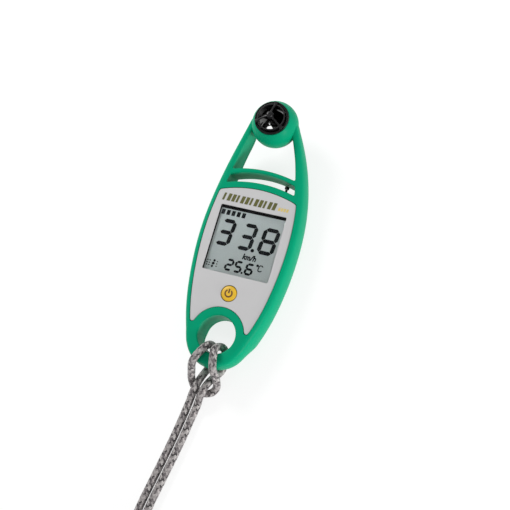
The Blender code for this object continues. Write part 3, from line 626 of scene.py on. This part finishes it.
def finger_hole():
    """The finger hole's cutter: a slight cone that widens into rounded edges at the back and the face."""
    slope = (FINGER_R - FINGER_BACK_R) / THICK
    corner = [(-5, 5.9), (-0.02, 0.92), (0.08, 0.6), (0.26, 0.29), (0.5, 0.1), (0.9, 0.0)]
    heights = corner + [(THICK - z, out) for z, out in corner[::-1]]
    return loft([[(x, y, z) for x, y in circle((0, FINGER_Y), FINGER_BACK_R + slope * z + out, 96, 0.031)]
                 for z, out in heights])


def straight_blank():
    loop = casing_edge()
    rings = [[(x, y, z) for x, y in offset(loop, side_offsets(loop, out))] for z, out in SIDE]
    blank = add("blank", loft(rings))
    cut(blank, finger_hole())
    cut(blank, flared(softened(slot_outline(), 190, 3), 0, THICK, 0.7))
    cut(blank, flared(softened(window_outline(), 220, 4), 0, THICK, EDGE_ROUND))
    cut(blank, prism(bar_back_outline(), THROUGH[0], CROSSBAR_BACK))
    return blank


def ball():
    top = math.asin(BALL_HALF / BALL_R)
    angles = np.linspace(-top, top, 26)
    profile = [(BALL_R * math.cos(a), HEAD.z + BALL_R * math.sin(a)) for a in angles]
    rim = profile[-1][0]
    lips = [(rim - 0.12, HEAD.z + BALL_HALF + 0.03)]
    feet = [(rim - 0.12, HEAD.z - BALL_HALF - 0.03)]
    profile += lips + [(0, HEAD.z + BALL_HALF + 0.03), (0, HEAD.z - BALL_HALF - 0.03)] + feet
    return turned(profile, HEAD, 112)


def other_side(upper):
    seam = PARTING + (SEAM if upper else -SEAM) / 2
    slab = add("slab", block((-45, 45), (-90, 90), (-90, seam) if upper else (seam, 90)))
    shape = bmesh.new()
    shape.from_mesh(slab.data)
    slice_across(shape, 0.67)
    for vert in shape.verts:
        if abs(vert.co.z / MM - seam) < 1:
            vert.co.z = swept(vert.co.y / MM, seam) * MM
    shape.to_mesh(slab.data)
    shape.free()
    return slab


def sensor_pocket():
    x, y, z = SENSOR_AT
    return block((x - 1.3, x + 1.3), (y - 2.0, y + 2.0), (z - 1.8, z + 1.8))


def lead_path():
    low_end = [(-17.3, 14.8, 8.9), (-18.1, 17.8, 8.9), (-19.1, 20.8, 7.4), (-19.8, 24.0, 4.6)]
    arm = [(-19.9, 27.5), (-19.2, 31.5), (-17.8, 36.5), (-16.6, 41.0), (-15.3, 45.0), (-13.5, 49.6),
           (-12.0, 53.0)]
    points = [p if len(p) == 3 else (*p, swept(p[1], PARTING)) for p in low_end + arm]
    return spline(points + [(SENSOR_AT[0] - 1.1, SENSOR_AT[1] - 1.4, SENSOR_AT[2] - 0.3)], 14)


def lead_groove():
    path = [Vector(p) for p in lead_path()]
    rings = []
    for i, point in enumerate(path):
        along = (path[min(i + 1, len(path) - 1)] - path[max(i - 1, 0)]).normalized()
        side = along.cross(Vector((0, 0, 1))).normalized()
        other = side.cross(along)
        rings.append([point + side * 0.75 * math.cos(a) + other * 0.75 * math.sin(a)
                      for a in np.arange(8) * math.pi / 4])
    return loft(rings)


def finish_casing(half, upper, *openings):
    sweep(half)
    join(half, ball())
    cut(half, disc(HEAD.xy, TUBE_R + GAP, -5, 40, 96), other_side(upper))
    cut(half, sensor_pocket(), lead_groove(), *openings)
    paint(half, "green_plastic")
    smooth(half, 32)
    return half


def casing_front(blank):
    half = duplicate(blank, "casing_front")
    cut(half, prism(inside_outline(WALL, -0.5), -5, CEILING))
    for place in SCREWS:
        join(half, disc(place, BOSS_R, PARTING + 2 * GAP, CEILING + 0.5, 24))
    for place in SCREWS:
        cut(half, disc(place, 0.95, 0, CEILING - 1.0, 24))
    recess = PLATE_TOP - PLATE_THICK - GAP
    cut(half, prism(softened(inside_outline(PLATE_INSET - GAP, GAP, 3), 420, 3), recess, 20))
    cut(half, block((-19.0, 19.0), (LCD_Y - 18.7, LCD_Y + 18.7), (0, 20)))
    cut(half, block((-20.4, 20.4), (LCD_Y - 20.1, LCD_Y + 20.1), (8, GLASS_TOP + GAP)))
    cut(half, disc((0, BUTTON_Y), BUTTON_R + GAP, 5, 20, 64))
    finish_casing(half, True, rod((PROBE_X, 18, PROBE_Z), (PROBE_X, 32.5, PROBE_Z), 0.95))
    return finished(half, "casing", "green_plastic", "front_housing")


def casing_back(blank):
    half = duplicate(blank, "casing_back")
    cut(half, prism(inside_outline(WALL, -0.5), FLOOR, 20))
    for place in SCREWS:
        cut(half, disc(place, 1.0, -2, 20, 24), disc(place, 2.1, -2, FLOOR - 0.5, 40))
    cut(half, disc((0, CELL_Y), CAP_R + GAP, -2, 10, 96))
    finish_casing(half, False)
    return finished(half, "casing", "green_plastic", "rear_housing")


def faceplate():
    low = PLATE_TOP - PLATE_THICK
    outline = softened(inside_outline(PLATE_INSET, 0.0, 3), 420, 4)
    plate = add("face_panel", bevelled(outline, low, PLATE_TOP, 0.14, both=False))
    frame_corners = [(-LCD_W / 2, LCD_Y - LCD_H / 2), (LCD_W / 2, LCD_Y - LCD_H / 2),
                     (LCD_W / 2, LCD_Y + LCD_H / 2), (-LCD_W / 2, LCD_Y + LCD_H / 2)]
    cut(plate, flared(softened(frame_corners, 280, 2), low - 3, PLATE_TOP, 0.14))
    cut(plate, flared(circle((0, BUTTON_Y), BUTTON_R + GAP, 72), low - 3, PLATE_TOP, 0.12))
    sweep(plate)
    paint(plate, "grey_plastic")
    smooth(plate, 32)
    return finished(plate, "casing", "grey_plastic", "faceplate")


# ---- printed marks ----
def slanted(points, lean, base):
    """Points of upright marks leant sideways about a base line."""
    return [(x + lean * (y - base), y) for x, y in points]


def bar_shape(start, end, width, taper=0.5):
    """A display bar: a thin stroke with pointed ends."""
    start, end = Vector(start), Vector(end)
    along = (end - start).normalized()
    side = Vector((-along.y, along.x)) * width / 2
    nose = along * width * taper
    return [start, start + nose - side, end - nose - side, end, end - nose + side, start + nose + side]


def digit_bars(segments, corner, width, height, thick):
    """Outlines of one seven-bar figure whose lower left corner is at corner."""
    x, y = corner
    left, right = x + thick / 2, x + width - thick / 2
    low, middle, high = y + thick / 2, y + height / 2, y + height - thick / 2
    clear = thick * 0.04
    places = {
        "top": ((left, high), (right, high)), "middle": ((left, middle), (right, middle)),
        "bottom": ((left, low), (right, low)), "upper_left": ((left, middle), (left, high)),
        "upper_right": ((right, middle), (right, high)), "lower_left": ((left, low), (left, middle)),
        "lower_right": ((right, low), (right, middle)),
    }
    outlines = []
    for name in segments:
        start, end = (Vector(p) for p in places[name])
        along = (end - start).normalized() * clear
        outlines.append(bar_shape(start + along, end - along, thick))
    return outlines


BARS = {
    "2": ("top", "upper_right", "middle", "lower_left", "bottom"),
    "3": ("top", "upper_right", "middle", "lower_right", "bottom"),
    "5": ("top", "upper_left", "middle", "lower_right", "bottom"),
    "6": ("top", "upper_left", "middle", "lower_left", "lower_right", "bottom"),
    "8": ("top", "upper_left", "upper_right", "middle", "lower_left", "lower_right", "bottom"),
}


def figures(text, x, y, pitch, width, height, thick, lean):
    outlines = []
    for number, figure in enumerate(text):
        for outline in digit_bars(BARS[figure], (x + number * pitch, y), width, height, thick):
            outlines.append(slanted([tuple(p) for p in outline], lean, y))
    return outlines


def strokes(lines, x, y, size, thick, lean=0.0):
    """Outlines of pen strokes drawn on a unit square, moved to x, y and scaled."""
    outlines = []
    for line in lines:
        points = [(x + px * size, y + py * size) for px, py in line]
        points = slanted(points, lean, y)
        for start, end in zip(points, points[1:]):
            start, end = Vector(start), Vector(end)
            along = (end - start).normalized() * thick * 0.42
            outlines.append([tuple(p) for p in bar_shape(start - along, end + along, thick, 0.3)])
    return outlines


LETTERS = {
    "k": ([[(0, 0), (0, 1)], [(0, 0.3), (0.42, 0.66)], [(0.14, 0.42), (0.46, 0)]], 0.62),
    "m": ([[(0, 0), (0, 0.64)], [(0, 0.5), (0.16, 0.64), (0.32, 0.5), (0.32, 0)],
           [(0.32, 0.5), (0.48, 0.64), (0.64, 0.5), (0.64, 0)]], 0.84),
    "/": ([[(0, 0), (0.38, 1)]], 0.56),
    "h": ([[(0, 0), (0, 1)], [(0, 0.5), (0.2, 0.64), (0.38, 0.5), (0.38, 0)]], 0.6),
    "C": ([[(0.62, 0.86), (0.45, 1), (0.16, 1), (0, 0.82), (0, 0.18), (0.16, 0), (0.45, 0), (0.62, 0.14)]],
          0.8),
    "o": ([[(0, 0.78), (0, 1), (0.22, 1), (0.22, 0.78), (0, 0.78)]], 0.42),
}


def lettering(text, x, y, size, thick, lean=0.06):
    outlines = []
    for letter in text:
        lines, advance = LETTERS[letter]
        outlines += strokes(lines, x, y, size, thick, lean)
        x += advance * size
    return outlines


def fan_sign(centre, radius):
    """The little rotor sign: a hub, round blades and air streaks on its two sides."""
    x, y = centre
    outlines = [circle(centre, radius * 0.42, 16).tolist()]
    for angle in (math.radians(80), math.radians(-100)):
        outlines.append(circle((x + radius * 0.85 * math.cos(angle), y + radius * 0.85 * math.sin(angle)),
                               radius * 0.36, 14).tolist())
    for row in (-1, 0, 1):
        level = y + row * 1.25
        for start, end in ((x - 3.9, x - 2.9), (x - 2.6, x - 1.6), (x + 1.5, x + 2.4)):
            outlines.append(bar_shape((start, level), (end, level), 0.55, 0.4))
    return outlines


def display():
    """The display's picture: a row of blocks, wind speed, its unit, temperature and the rotor sign."""
    top = GLASS_TOP + 0.03
    outlines = []
    for number in range(5):
        left = -17.2 + number * 2.83
        outlines.append([(left, 7.5), (left + 1.9, 7.5), (left + 2.05, 10.2), (left + 0.15, 10.2)])
    outlines += figures("33", -16.4, -8.8, 11.9, 8.3, 14.3, 2.05, 0.085)
    outlines += figures("8", 6.8, -8.8, 11.9, 8.9, 14.3, 2.05, 0.085)
    outlines.append(circle((4.85, -7.9), 0.95, 20).tolist())
    outlines += lettering("km/h", 1.1, -13.2, 2.75, 0.62, 0.15)
    outlines += figures("2", -7.3, -20.9, 4.9, 4.4, 6.4, 1.2, 0.1)
    outlines += figures("5", -2.4, -20.9, 4.9, 4.4, 6.4, 1.2, 0.1)
    outlines += figures("6", 3.5, -20.9, 4.9, 4.5, 6.4, 1.2, 0.1)
    outlines.append(circle((2.75, -20.3), 0.58, 14).tolist())
    outlines += lettering("oC", 9.2, -17.6, 3.1, 0.55, 0.1)
    outlines += fan_sign((-13.3, -18.8), 1.85)
    picture = merged("display_picture", [prism(o, top, top + 0.05) for o in outlines], "segments")
    finished(picture, "casing", "display_glass")

    # The black mask is partly the display's dark border; its wide strip along the top is painted shadow from
    # the faceplate's top edge.
    mask_and_painted_shadow = add("display_mask_and_painted_shadow", block((-19.2, 19.2), (LCD_Y - 19.4, LCD_Y + 19.4), (top, top + 0.12)))
    cut(mask_and_painted_shadow, block((-17.6, 17.6), (-23.6, 10.85), THROUGH))
    paint(mask_and_painted_shadow, "mask_and_painted_shadow")
    finished(mask_and_painted_shadow, "casing", "display_glass")

    glass = softened([(-19.3, LCD_Y - 19.5), (19.3, LCD_Y - 19.5), (19.3, LCD_Y + 19.5),
                      (-19.3, LCD_Y + 19.5)], 240, 2)
    cell = add("display_cell", bevelled(glass, GLASS_TOP - GLASS_THICK, GLASS_TOP, 0.1), "display_glass")
    smooth(cell)
    finished(cell, "casing", "display_glass", "lcd_panel")

    low = GLASS_TOP + GAP
    pane = softened([(-18.7, LCD_Y - 18.4), (18.7, LCD_Y - 18.4), (18.7, LCD_Y + 18.4),
                     (-18.7, LCD_Y + 18.4)], 240, 3)
    window = add("display_pane", bevelled(pane, low, low + 0.6, 0.1), "clear_plastic")
    smooth(window)
    finished(window, "casing", "clear_plastic", "display_window")


def title_band():
    """A plain band of slanted bars above the display, where a name would be."""
    low, high = PLATE_TOP + 0.005, PLATE_TOP + 0.06
    bars = []
    for number in range(12):
        left = -18.3 + number * 2.47
        wide = 1.75 if number % 3 else 1.1
        bars.append([(left, 14.5), (left + wide, 14.5), (left + wide + 0.75, 18.4), (left + 0.75, 18.4)])
    band = merged("title_band", [prism(slant, low, high) for slant in bars], "mark_olive")
    finished(band, "casing", "yellow_plastic")
    dashes = [[(12.3 + k * 1.45, 14.8), (13.3 + k * 1.45, 14.8), (13.6 + k * 1.45, 16.5),
               (12.6 + k * 1.45, 16.5)]
              for k in range(4)]
    small = merged("title_dashes", [prism(dash, low, high) for dash in dashes], "mark_yellow")
    finished(small, "casing", "yellow_plastic")
    for item in (band, small):
        sweep_marks(item)


def sweep_marks(item):
    """Lay flat marks on the swept faceplate."""
    for vert in item.data.vertices:
        rise = swept(vert.co.y / MM, PLATE_TOP) - PLATE_TOP
        vert.co.z += rise * MM


# ---- button, battery cap and screws ----
def power_button():
    r = BUTTON_R
    flange = CEILING - GAP
    profile = [(0, 15.25), (1.2, 15.24), (2.2, 15.2), (3.0, 15.1), (3.5, 14.96), (3.8, 14.78), (3.95, 14.5),
               (r, 14.1), (r, flange), (r + 1.2, flange), (r + 1.2, flange - 0.7), (1.3, flange - 0.7),
               (1.3, 10.7), (0, 10.7)]
    cap = add("button_cap", turned(profile, (0, BUTTON_Y), 80), "yellow_plastic")
    smooth(cap)
    finished(cap, "button", "yellow_plastic", "power_button")
    outer, inner = 2.15, 1.42
    gap = math.radians(34)
    turns = np.linspace(math.pi / 2 + gap, 2.5 * math.pi - gap, 40)
    ring = [(outer * math.cos(a), BUTTON_Y + outer * math.sin(a)) for a in turns]
    ring += [(inner * math.cos(a), BUTTON_Y + inner * math.sin(a)) for a in turns[::-1]]
    stem = [(-0.36, BUTTON_Y + 0.1), (0.36, BUTTON_Y + 0.1), (0.36, BUTTON_Y + 2.3), (-0.36, BUTTON_Y + 2.3)]
    sign = merged("button_sign", [prism(ring, 15.0, 15.262), prism(stem, 15.0, 15.282)], "mark_brown")
    finished(sign, "button", "yellow_plastic")


def battery_cap():
    centre = (0, CELL_Y)
    neck_low, top = 1.2, 2.55
    profile = [(0, 0.2), (CAP_R - 0.5, 0.2), (CAP_R - 0.2, 0.27), (CAP_R - 0.05, 0.42), (CAP_R, 0.6),
               (CAP_R, neck_low), (10.6, neck_low), (10.6, top), (0, top)]
    cap = add("cap_cover", turned(profile, centre, 112))
    for side in (-1, 1):
        x = sorted((side * 10.2, side * 13.6))
        join(cap, block(x, (CELL_Y - 2.4, CELL_Y + 2.4), (FLOOR + GAP, top)))
    slot = softened([(8.0 * x, CELL_Y + y) for x, y in SIGNS], 120, 8)
    cut(cap, prism(slot, -1, 1.3))
    for number in range(24):
        angle = 2 * math.pi * (number + 0.5) / 24
        place = (11.1 * math.cos(angle), CELL_Y + 11.1 * math.sin(angle))
        cut(cap, disc(place, 0.32, -1, 0.42, 10))
    paint(cap, "green_plastic")
    smooth(cap)
    finished(cap, "cap", "green_plastic", "battery_cap")


def screws():
    profile = [(0, 0.2), (1.35, 0.2), (1.62, 0.28), (1.78, 0.5), (1.8, 1.0), (0.7, 1.05), (0.7, 10.5),
               (0, 10.9)]
    for number, place in enumerate(SCREWS, 1):
        screw = add(f"screw_{number}", turned(profile, place, 40))
        turn = 0.4 + number
        for angle in (turn, turn + math.pi / 2):
            along = Vector((math.cos(angle), math.sin(angle)))
            side = Vector((-along.y, along.x))
            ends = [Vector(place) + along * a + side * 0.2 * b for a, b in SIGNS]
            cut(screw, prism([tuple(p) for p in ends], -1, 0.75))
        paint(screw, "steel")
        smooth(screw)
        finished(screw, "casing", "steel", f"housing_screw_{number}")


# ---- head ----
def cartridge():
    front = HEAD.z + BALL_HALF + GAP
    back = HEAD.z - BALL_HALF
    inner = TUBE_R - TUBE_WALL
    top = front + FLANGE_THICK
    profile = [(TUBE_R, back), (TUBE_R, front), (FLANGE_R, front), (FLANGE_R, front + 0.2),
               (FLANGE_R - 0.08, top - 0.12), (FLANGE_R - 0.25, top), (inner + 0.4, top),
               (inner + 0.14, top - 0.09), (inner, top - 0.35), (inner, back)]
    item = add("rotor_tube", turned(profile, HEAD, 128), "black_plastic")
    smooth(item)
    finished(item, "casing", "black_plastic", "rotor_cartridge")


def spider(name, side, node, proud, arm):
    mouth = HEAD.z + side * (BALL_HALF - 0.2)
    ring_r = TUBE_R - TUBE_WALL - 0.25
    ring_top = max(0.2, arm[-2][1])

    def at(rise):
        return mouth + side * rise

    hub = [(0, at(proud)), (HUB_R * 0.35, at(proud)), (HUB_R * 0.62, at(proud - 0.05)),
           (HUB_R * 0.85, at(proud - 0.2)), (HUB_R * 0.96, at(proud - 0.45)), (HUB_R, at(proud - 0.8)),
           (HUB_R, at(proud - 2.6)), (1.25, at(proud - 2.6)), (1.25, at(proud - 1.0)), (0, at(proud - 1.0))]
    ring = [(ring_r, at(-1.5)), (ring_r, at(ring_top - 0.1)), (ring_r - 0.1, at(ring_top)),
            (ring_r - 0.5, at(ring_top)), (ring_r - 0.6, at(ring_top - 0.1)), (ring_r - 0.6, at(-1.5))]
    item = add(name, turned(hub, HEAD, 64))
    join(item, turned(ring, HEAD, 96))
    for number in range(3):
        join(item, spider_arm(SPIDER_TURN + number * 2 * math.pi / 3, at, arm))
    cut(item, disc(HEAD.xy, 0.55, *sorted((at(proud - 0.35), at(proud + 1))), 32))
    paint(item, "dark_plastic")
    smooth(item)
    finished(item, "casing", "dark_plastic", node)


def spider_arm(angle, at, arm):
    out = Vector((math.cos(angle), math.sin(angle), 0))
    across = Vector((-out.y, out.x, 0))
    rings = []
    for r, rise, wide, deep in spline(np.array(arm), 16):
        middle = Vector((HEAD.x, HEAD.y, at(rise))) + out * r
        rings.append([middle + across * (wide * superround(math.cos(a)))
                      + Vector((0, 0, deep * superround(math.sin(a)))) for a in np.arange(16) * math.pi / 8])
    return loft(rings)


def spiders():
    start = HUB_R - 0.45
    front = [(start, FRONT_PROUD - 1.5, 0.6, 0.5), (3.2, 4.45, 0.42, 0.4), (5.2, 3.6, 0.42, 0.4),
             (6.9, 2.75, 0.6, 0.4), (8.5, 2.15, 1.3, 0.35)]
    rear = [(start, REAR_PROUD - 1.5, 0.6, 0.5), (3.0, REAR_PROUD - 1.9, 0.42, 0.4),
            (4.6, REAR_PROUD - 2.6, 0.42, 0.4), (6.0, 0.2, 0.6, 0.45), (7.0, -0.75, 1.3, 0.55)]
    spider("spider_front", 1, "front_spider", FRONT_PROUD, front)
    spider("spider_back", -1, "rear_spider", REAR_PROUD, rear)


def superround(value):
    """Squares off a circle's coordinate, for bars with rounded corners."""
    return math.copysign(abs(value)**0.6, value)


def blade(start):
    """One twisted blade: a thin screw surface from the hub to the tip, thinner towards its edges."""
    rings = []
    for r in np.linspace(1.7, BLADE_R, 12):
        reach = 0.46 + 0.05 * (r / BLADE_R)
        pitch = BLADE_HALF / (reach * r)
        turns = np.linspace(-1, 1, 11)
        ring = []
        for face, order in ((1, turns), (-1, turns[::-1])):
            for t in order:
                thick = face * (0.08 + 0.24 * math.sqrt(max(0.0, 1 - t * t)))
                shift = thick / math.hypot(1, pitch)
                twist = thick * pitch / math.hypot(1, pitch) / r
                angle = start + t * reach
                ring.append((HEAD.x + r * math.cos(angle - twist), HEAD.y + r * math.sin(angle - twist),
                             HEAD.z + t * BLADE_HALF + shift))
        rings.append(ring)
    return loft(rings)


def impeller():
    bore = AXLE_R + GAP
    back, front = HEAD.z - 3.6, HEAD.z + 3.8
    hub = [(bore, back), (2.05, back), (2.2, back + 0.15), (2.2, front - 0.9), (2.08, front - 0.4),
           (1.75, front - 0.08), (1.5, front), (bore, front)]
    wheel = add("rotor_wheel", turned(hub, HEAD, 64))
    for number in range(BLADES):
        join(wheel, blade(IMPELLER_TURN + number * 2 * math.pi / BLADES))
    paint(wheel, "black_plastic")
    smooth(wheel)
    finished(wheel, "rotor", "black_plastic", "impeller")


def probe():
    """The air temperature sensor: a thin stem across the slot with a thicker end in the crossbar."""
    stem = [(0, 18.6), (0.55, 18.6), (0.65, 18.75), (0.65, 27.5), (0.55, 27.6), (0, 27.6)]
    tip = [(0, 27.6 + GAP), (1.0, 27.6 + GAP), (1.2, 28.05), (1.2, 29.15), (1.0, 29.4), (0, 29.4)]
    for name, profile, node in (("probe_stem", stem, "temperature_probe"), ("probe_end", tip, "probe_tip")):
        shape = turned([(r, y) for r, y in profile], (0, 0), 32)
        bmesh.ops.rotate(shape, verts=shape.verts, cent=(0, 0, 0),
                         matrix=Matrix.Rotation(-math.pi / 2, 3, "X"))
        bmesh.ops.translate(shape, verts=shape.verts, vec=(PROBE_X, 0, PROBE_Z))
        item = add(name, shape, "black_plastic")
        smooth(item)
        finished(item, "casing", "black_plastic", node)


# ---- cord ----
BRAID_PITCH = 1.15                          # along the cord, for one crossing
CORD_STEP = 0.4                             # between rings of the cord's mesh
CORD_SIDES = 36


def hank_strand(radius):
    """One strand's two turns of the hank, from the tail down the left run to the knot."""
    low_layer, high_layer = 3.2, 7.4
    low_y = HANK_Y - HANK_RUN
    points = []

    def run(x, start, end, z):
        points.extend((x, y, z) for y in np.linspace(start, end, 5))

    def bend(centre_y, start, end, low, high):
        for degrees in np.linspace(start, end, 11)[1:-1]:
            climb = smooth_step((degrees - 55) / 70) if start == 0 else 0
            angle = math.radians(degrees)
            points.append((HANK_X + radius * math.cos(angle), centre_y + radius * math.sin(angle),
                           low + (high - low) * climb))

    run(HANK_X - radius, HANK_Y, low_y, low_layer)
    bend(low_y, 180, 360, low_layer, low_layer)
    run(HANK_X + radius, low_y, HANK_Y, low_layer)
    bend(HANK_Y, 0, 180, low_layer, high_layer)
    run(HANK_X - radius, HANK_Y, low_y, high_layer)
    bend(low_y, 180, 360, high_layer, high_layer)
    run(HANK_X + radius, low_y, HANK_Y, high_layer)
    return points


def cord_route():
    outer = hank_strand(HANK_X - HITCH[0][0])
    inner = hank_strand(HANK_X - HITCH[-1][0])
    outer += [(6.5, -165.0, 7.3), (6.2, -160.0, 6.4), (6.0, -156.6, 5.6)]
    inner += [(2.3, -165.0, 7.3), (2.8, -160.0, 6.4), (3.2, -156.6, 5.6)]
    return outer[::-1] + HITCH + inner


def carried_frames(path, closed=False):
    """Two directions across a path at each of its points, carried along without twisting."""
    along = np.roll(path, -1, 0) - np.roll(path, 1, 0)
    if not closed:
        along[0], along[-1] = path[1] - path[0], path[-1] - path[-2]
    along /= np.linalg.norm(along, axis=1)[:, None]
    side = np.cross(along[0], (0, 0, 1.0))
    side /= np.linalg.norm(side)
    sides = []
    for direction in along:
        side = side - direction * side.dot(direction)
        side /= np.linalg.norm(side)
        sides.append(side)
    sides = np.array(sides)
    return sides, np.cross(along, sides)


def yarn_relief(around, along):
    """Height of the braid's surface, 0 to 1, from places counted in yarns."""
    left, right = around + along, around - along
    row, column = np.floor(left), np.floor(right)
    over = np.mod(row + column, 4) < 2
    across = np.where(over, left - row, right - column)
    stretch = np.where(over, np.mod(row + column, 4) + (right - column),
                       np.mod(row + column - 2, 4) + 1 - (left - row))
    crown = np.sqrt(np.clip(1 - (2 * across - 1)**2, 0, 1))
    return crown * (0.55 + 0.45 * np.sin(np.clip(stretch / 2, 0, 1) * math.pi))


def braided_tube(name, path, radius, closed=False):
    """A braided cord's mesh round a path, with each corner's place in the braid kept for its material."""
    sides, others = carried_frames(path, closed)
    rings, count = len(path), CORD_SIDES
    travel = np.concatenate([[0], np.cumsum(np.linalg.norm(np.diff(path, axis=0), axis=1))])
    lengthwise = travel / BRAID_PITCH
    around = np.arange(count) / count * YARNS
    relief = yarn_relief(around[None, :], lengthwise[:, None])
    reach = radius - 0.2 + 0.2 * relief
    angles = np.arange(count) * 2 * math.pi / count
    points = (path[:, None, :] + reach[:, :, None] * (np.cos(angles)[None, :, None] * sides[:, None, :]
                                                      + np.sin(angles)[None, :, None] * others[:, None, :]))
    verts = points.reshape(-1, 3) * MM
    last = rings if closed else rings - 1
    i, j = np.meshgrid(np.arange(last), np.arange(count), indexing="ij")
    after_i, after_j = (i + 1) % rings, (j + 1) % count
    faces = np.stack([i * count + j, i * count + after_j, after_i * count + after_j, after_i * count + j], -1)
    faces = faces.reshape(-1, 4)
    places = np.stack([
        np.stack([j, j + 1, j + 1, j], -1) / count * YARNS,
        np.stack([lengthwise[i], lengthwise[i], lengthwise[i] + CORD_STEP / BRAID_PITCH,
                  lengthwise[i] + CORD_STEP / BRAID_PITCH], -1),
        np.zeros((*i.shape, 4))], -1).reshape(-1, 3)
    mesh = bpy.data.meshes.new(name)
    ends = [] if closed else [list(range(count))[::-1], list(range((rings - 1) * count, rings * count))]
    mesh.from_pydata(verts.tolist(), [], faces.tolist() + ends)
    values = np.zeros((len(mesh.loops), 3), np.float32)
    values[:len(places)] = places
    attribute = mesh.attributes.new("braid", "FLOAT_VECTOR", "CORNER")
    attribute.data.foreach_set("vector", values.ravel())
    mesh.shade_smooth()
    item = bpy.data.objects.new(name, mesh)
    bpy.context.scene.collection.objects.link(item)
    paint(item, "cord")
    return item


def path_length(points):
    return float(np.linalg.norm(np.diff(points, axis=0), axis=1).sum())


def lanyard():
    """The doubled cord: one length from the knot round the hank, the hitch and back to the knot."""
    rough = spline(cord_route(), 4000)
    length = path_length(rough)
    path = spline(cord_route(), int(length / CORD_STEP))
    cord = braided_tube("braided_cord", path, CORD_R)
    finished(cord, "casing", "cord", "lanyard_cord", "lanyard_hank")

    turns = np.linspace(0, 2 * math.pi, 260, endpoint=False)
    across, rise = 1.36, 2.35
    loop = np.column_stack([KNOT[0] + across * (np.sin(turns) + 2 * np.sin(2 * turns)),
                            KNOT[1] + across * (np.cos(turns) - 2 * np.cos(2 * turns)),
                            KNOT[2] - rise * np.sin(3 * turns)])
    knot = braided_tube("cord_knot", spline(loop.tolist(), 240, closed=True), CORD_R * 0.98, closed=True)
    finished(knot, "casing", "cord", "lanyard_knot")

    strap = hank_strap()


def hank_strap():
    """A woven strap round the hank."""
    middle = HANK_Y - HANK_RUN / 2
    low, high = 0.9, 9.9
    centre_z, half_z = (low + high) / 2, (high - low) / 2
    half_x, thick, steps = 14.6, 0.75, 96
    hem, pinch = 0.25, 0.12
    rings = [(-TIE_HALF, pinch), (-TIE_HALF + hem, 0.0), (TIE_HALF - hem, 0.0), (TIE_HALF, pinch)]

    def outline(grow):
        points = []
        for a in np.arange(steps) * 2 * math.pi / steps:
            x = math.copysign(abs(math.cos(a))**0.55, math.cos(a)) * (half_x + grow)
            z = centre_z + math.copysign(abs(math.sin(a))**0.32, math.sin(a)) * (half_z + grow)
            points.append((x, z))
        return points

    sections = [(y, thick - narrow) for y, narrow in rings] + [(y, 0.02 + narrow) for y,
                                                               narrow in rings[::-1]]
    shell = [[(HANK_X + x, middle + y, z) for x, z in outline(grow)] for y, grow in sections]
    strap = add("hank_strap", loft(shell, closed=True), "tie")
    smooth(strap)
    return finished(strap, "casing", "tie", "hank_tie")


# ---- nodes that keep their own shape ----
KEPT = {
    "white_plastic": ["lcd_frame"],
    "silicone": ["lcd_connector_top", "lcd_connector_bottom"],
    "circuit_board": ["circuit_board"],
    "dark_plastic": ["microcontroller", "sensor_amplifier", "switch_plunger", "speed_sensor", "sensor_lead"],
    "steel": ["clock_crystal", "switch_body", "coin_cell", "axle"],
    "brass": ["buzzer_disc", "contact_minus", "contact_plus"],
    "rubber": ["battery_seal"],
    "magnet": ["rotor_magnet"],
    "jewel": ["front_bearing", "rear_bearing"],
}


def finish_kept_nodes():
    for finish, names in KEPT.items():
        for name in names:
            paint(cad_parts[name], finish)


# ---- stage ----
def floor():
    shape = bmesh.new()
    half, level = 3000.0, -0.1
    shape.faces.new([shape.verts.new((x * half, y * half, level)) for x, y in SIGNS])
    item = add("floor", shape)
    material, nodes, _ = new_material("white_table")
    set_inputs(nodes["Principled BSDF"], Base_Color=(0.3, 0.3, 0.3, 1), Emission_Color=(1.0, 1.0, 1.0, 1),
               Emission_Strength=0.78, Roughness=0.9, Specular_IOR_Level=0.1)
    item.data.materials.append(material)


def area_light(name, place, size, power, target=(0, 0, 10)):
    light = bpy.data.lights.new(name, "AREA")
    light.shape = "DISK"
    light.size = size * MM
    light.energy = power
    item = bpy.data.objects.new(name, light)
    item.location = Vector(place) * MM
    item.rotation_mode = "QUATERNION"
    item.rotation_quaternion = (Vector(target) - Vector(place)).to_track_quat("-Z", "Y")
    bpy.context.scene.collection.objects.link(item)


def lights():
    world = bpy.data.worlds.new("studio")
    world.use_nodes = True
    set_inputs(world.node_tree.nodes["Background"], Color=(1.0, 1.0, 1.0, 1), Strength=0.5)
    bpy.context.scene.world = world
    area_light("key", (520, -240, 90), 160, 1.9)
    area_light("fill", (-450, 350, 450), 300, 2.8)


def camera():
    """Above the cord end and to the right, looking down at the face, with the head up and to the right."""
    view = bpy.data.cameras.new("camera")
    view.lens = 63.53
    view.clip_start, view.clip_end = 0.01, 20.0
    item = bpy.data.objects.new("camera", view)
    right = Vector((0.929264, 0.279663, -0.241365))
    up = Vector((-0.218187, 0.942732, 0.252292))
    turn = Matrix((right, up, right.cross(up))).transposed()
    item.matrix_world = Matrix.Translation(Vector((142.264, -92.302, 438.584)) * MM) @ turn.to_4x4()
    bpy.context.scene.collection.objects.link(item)
    bpy.context.scene.camera = item
    bpy.context.scene.view_settings.view_transform = "Standard"


# ---- the whole ----
def build():
    camera()
    lanyard()
    blank = straight_blank()
    casing_front(blank)
    casing_back(blank)
    bpy.data.objects.remove(blank)
    faceplate()
    display()
    title_band()
    power_button()
    battery_cap()
    screws()
    cartridge()
    spiders()
    impeller()
    probe()
    finish_kept_nodes()
    floor()
    lights()


build()
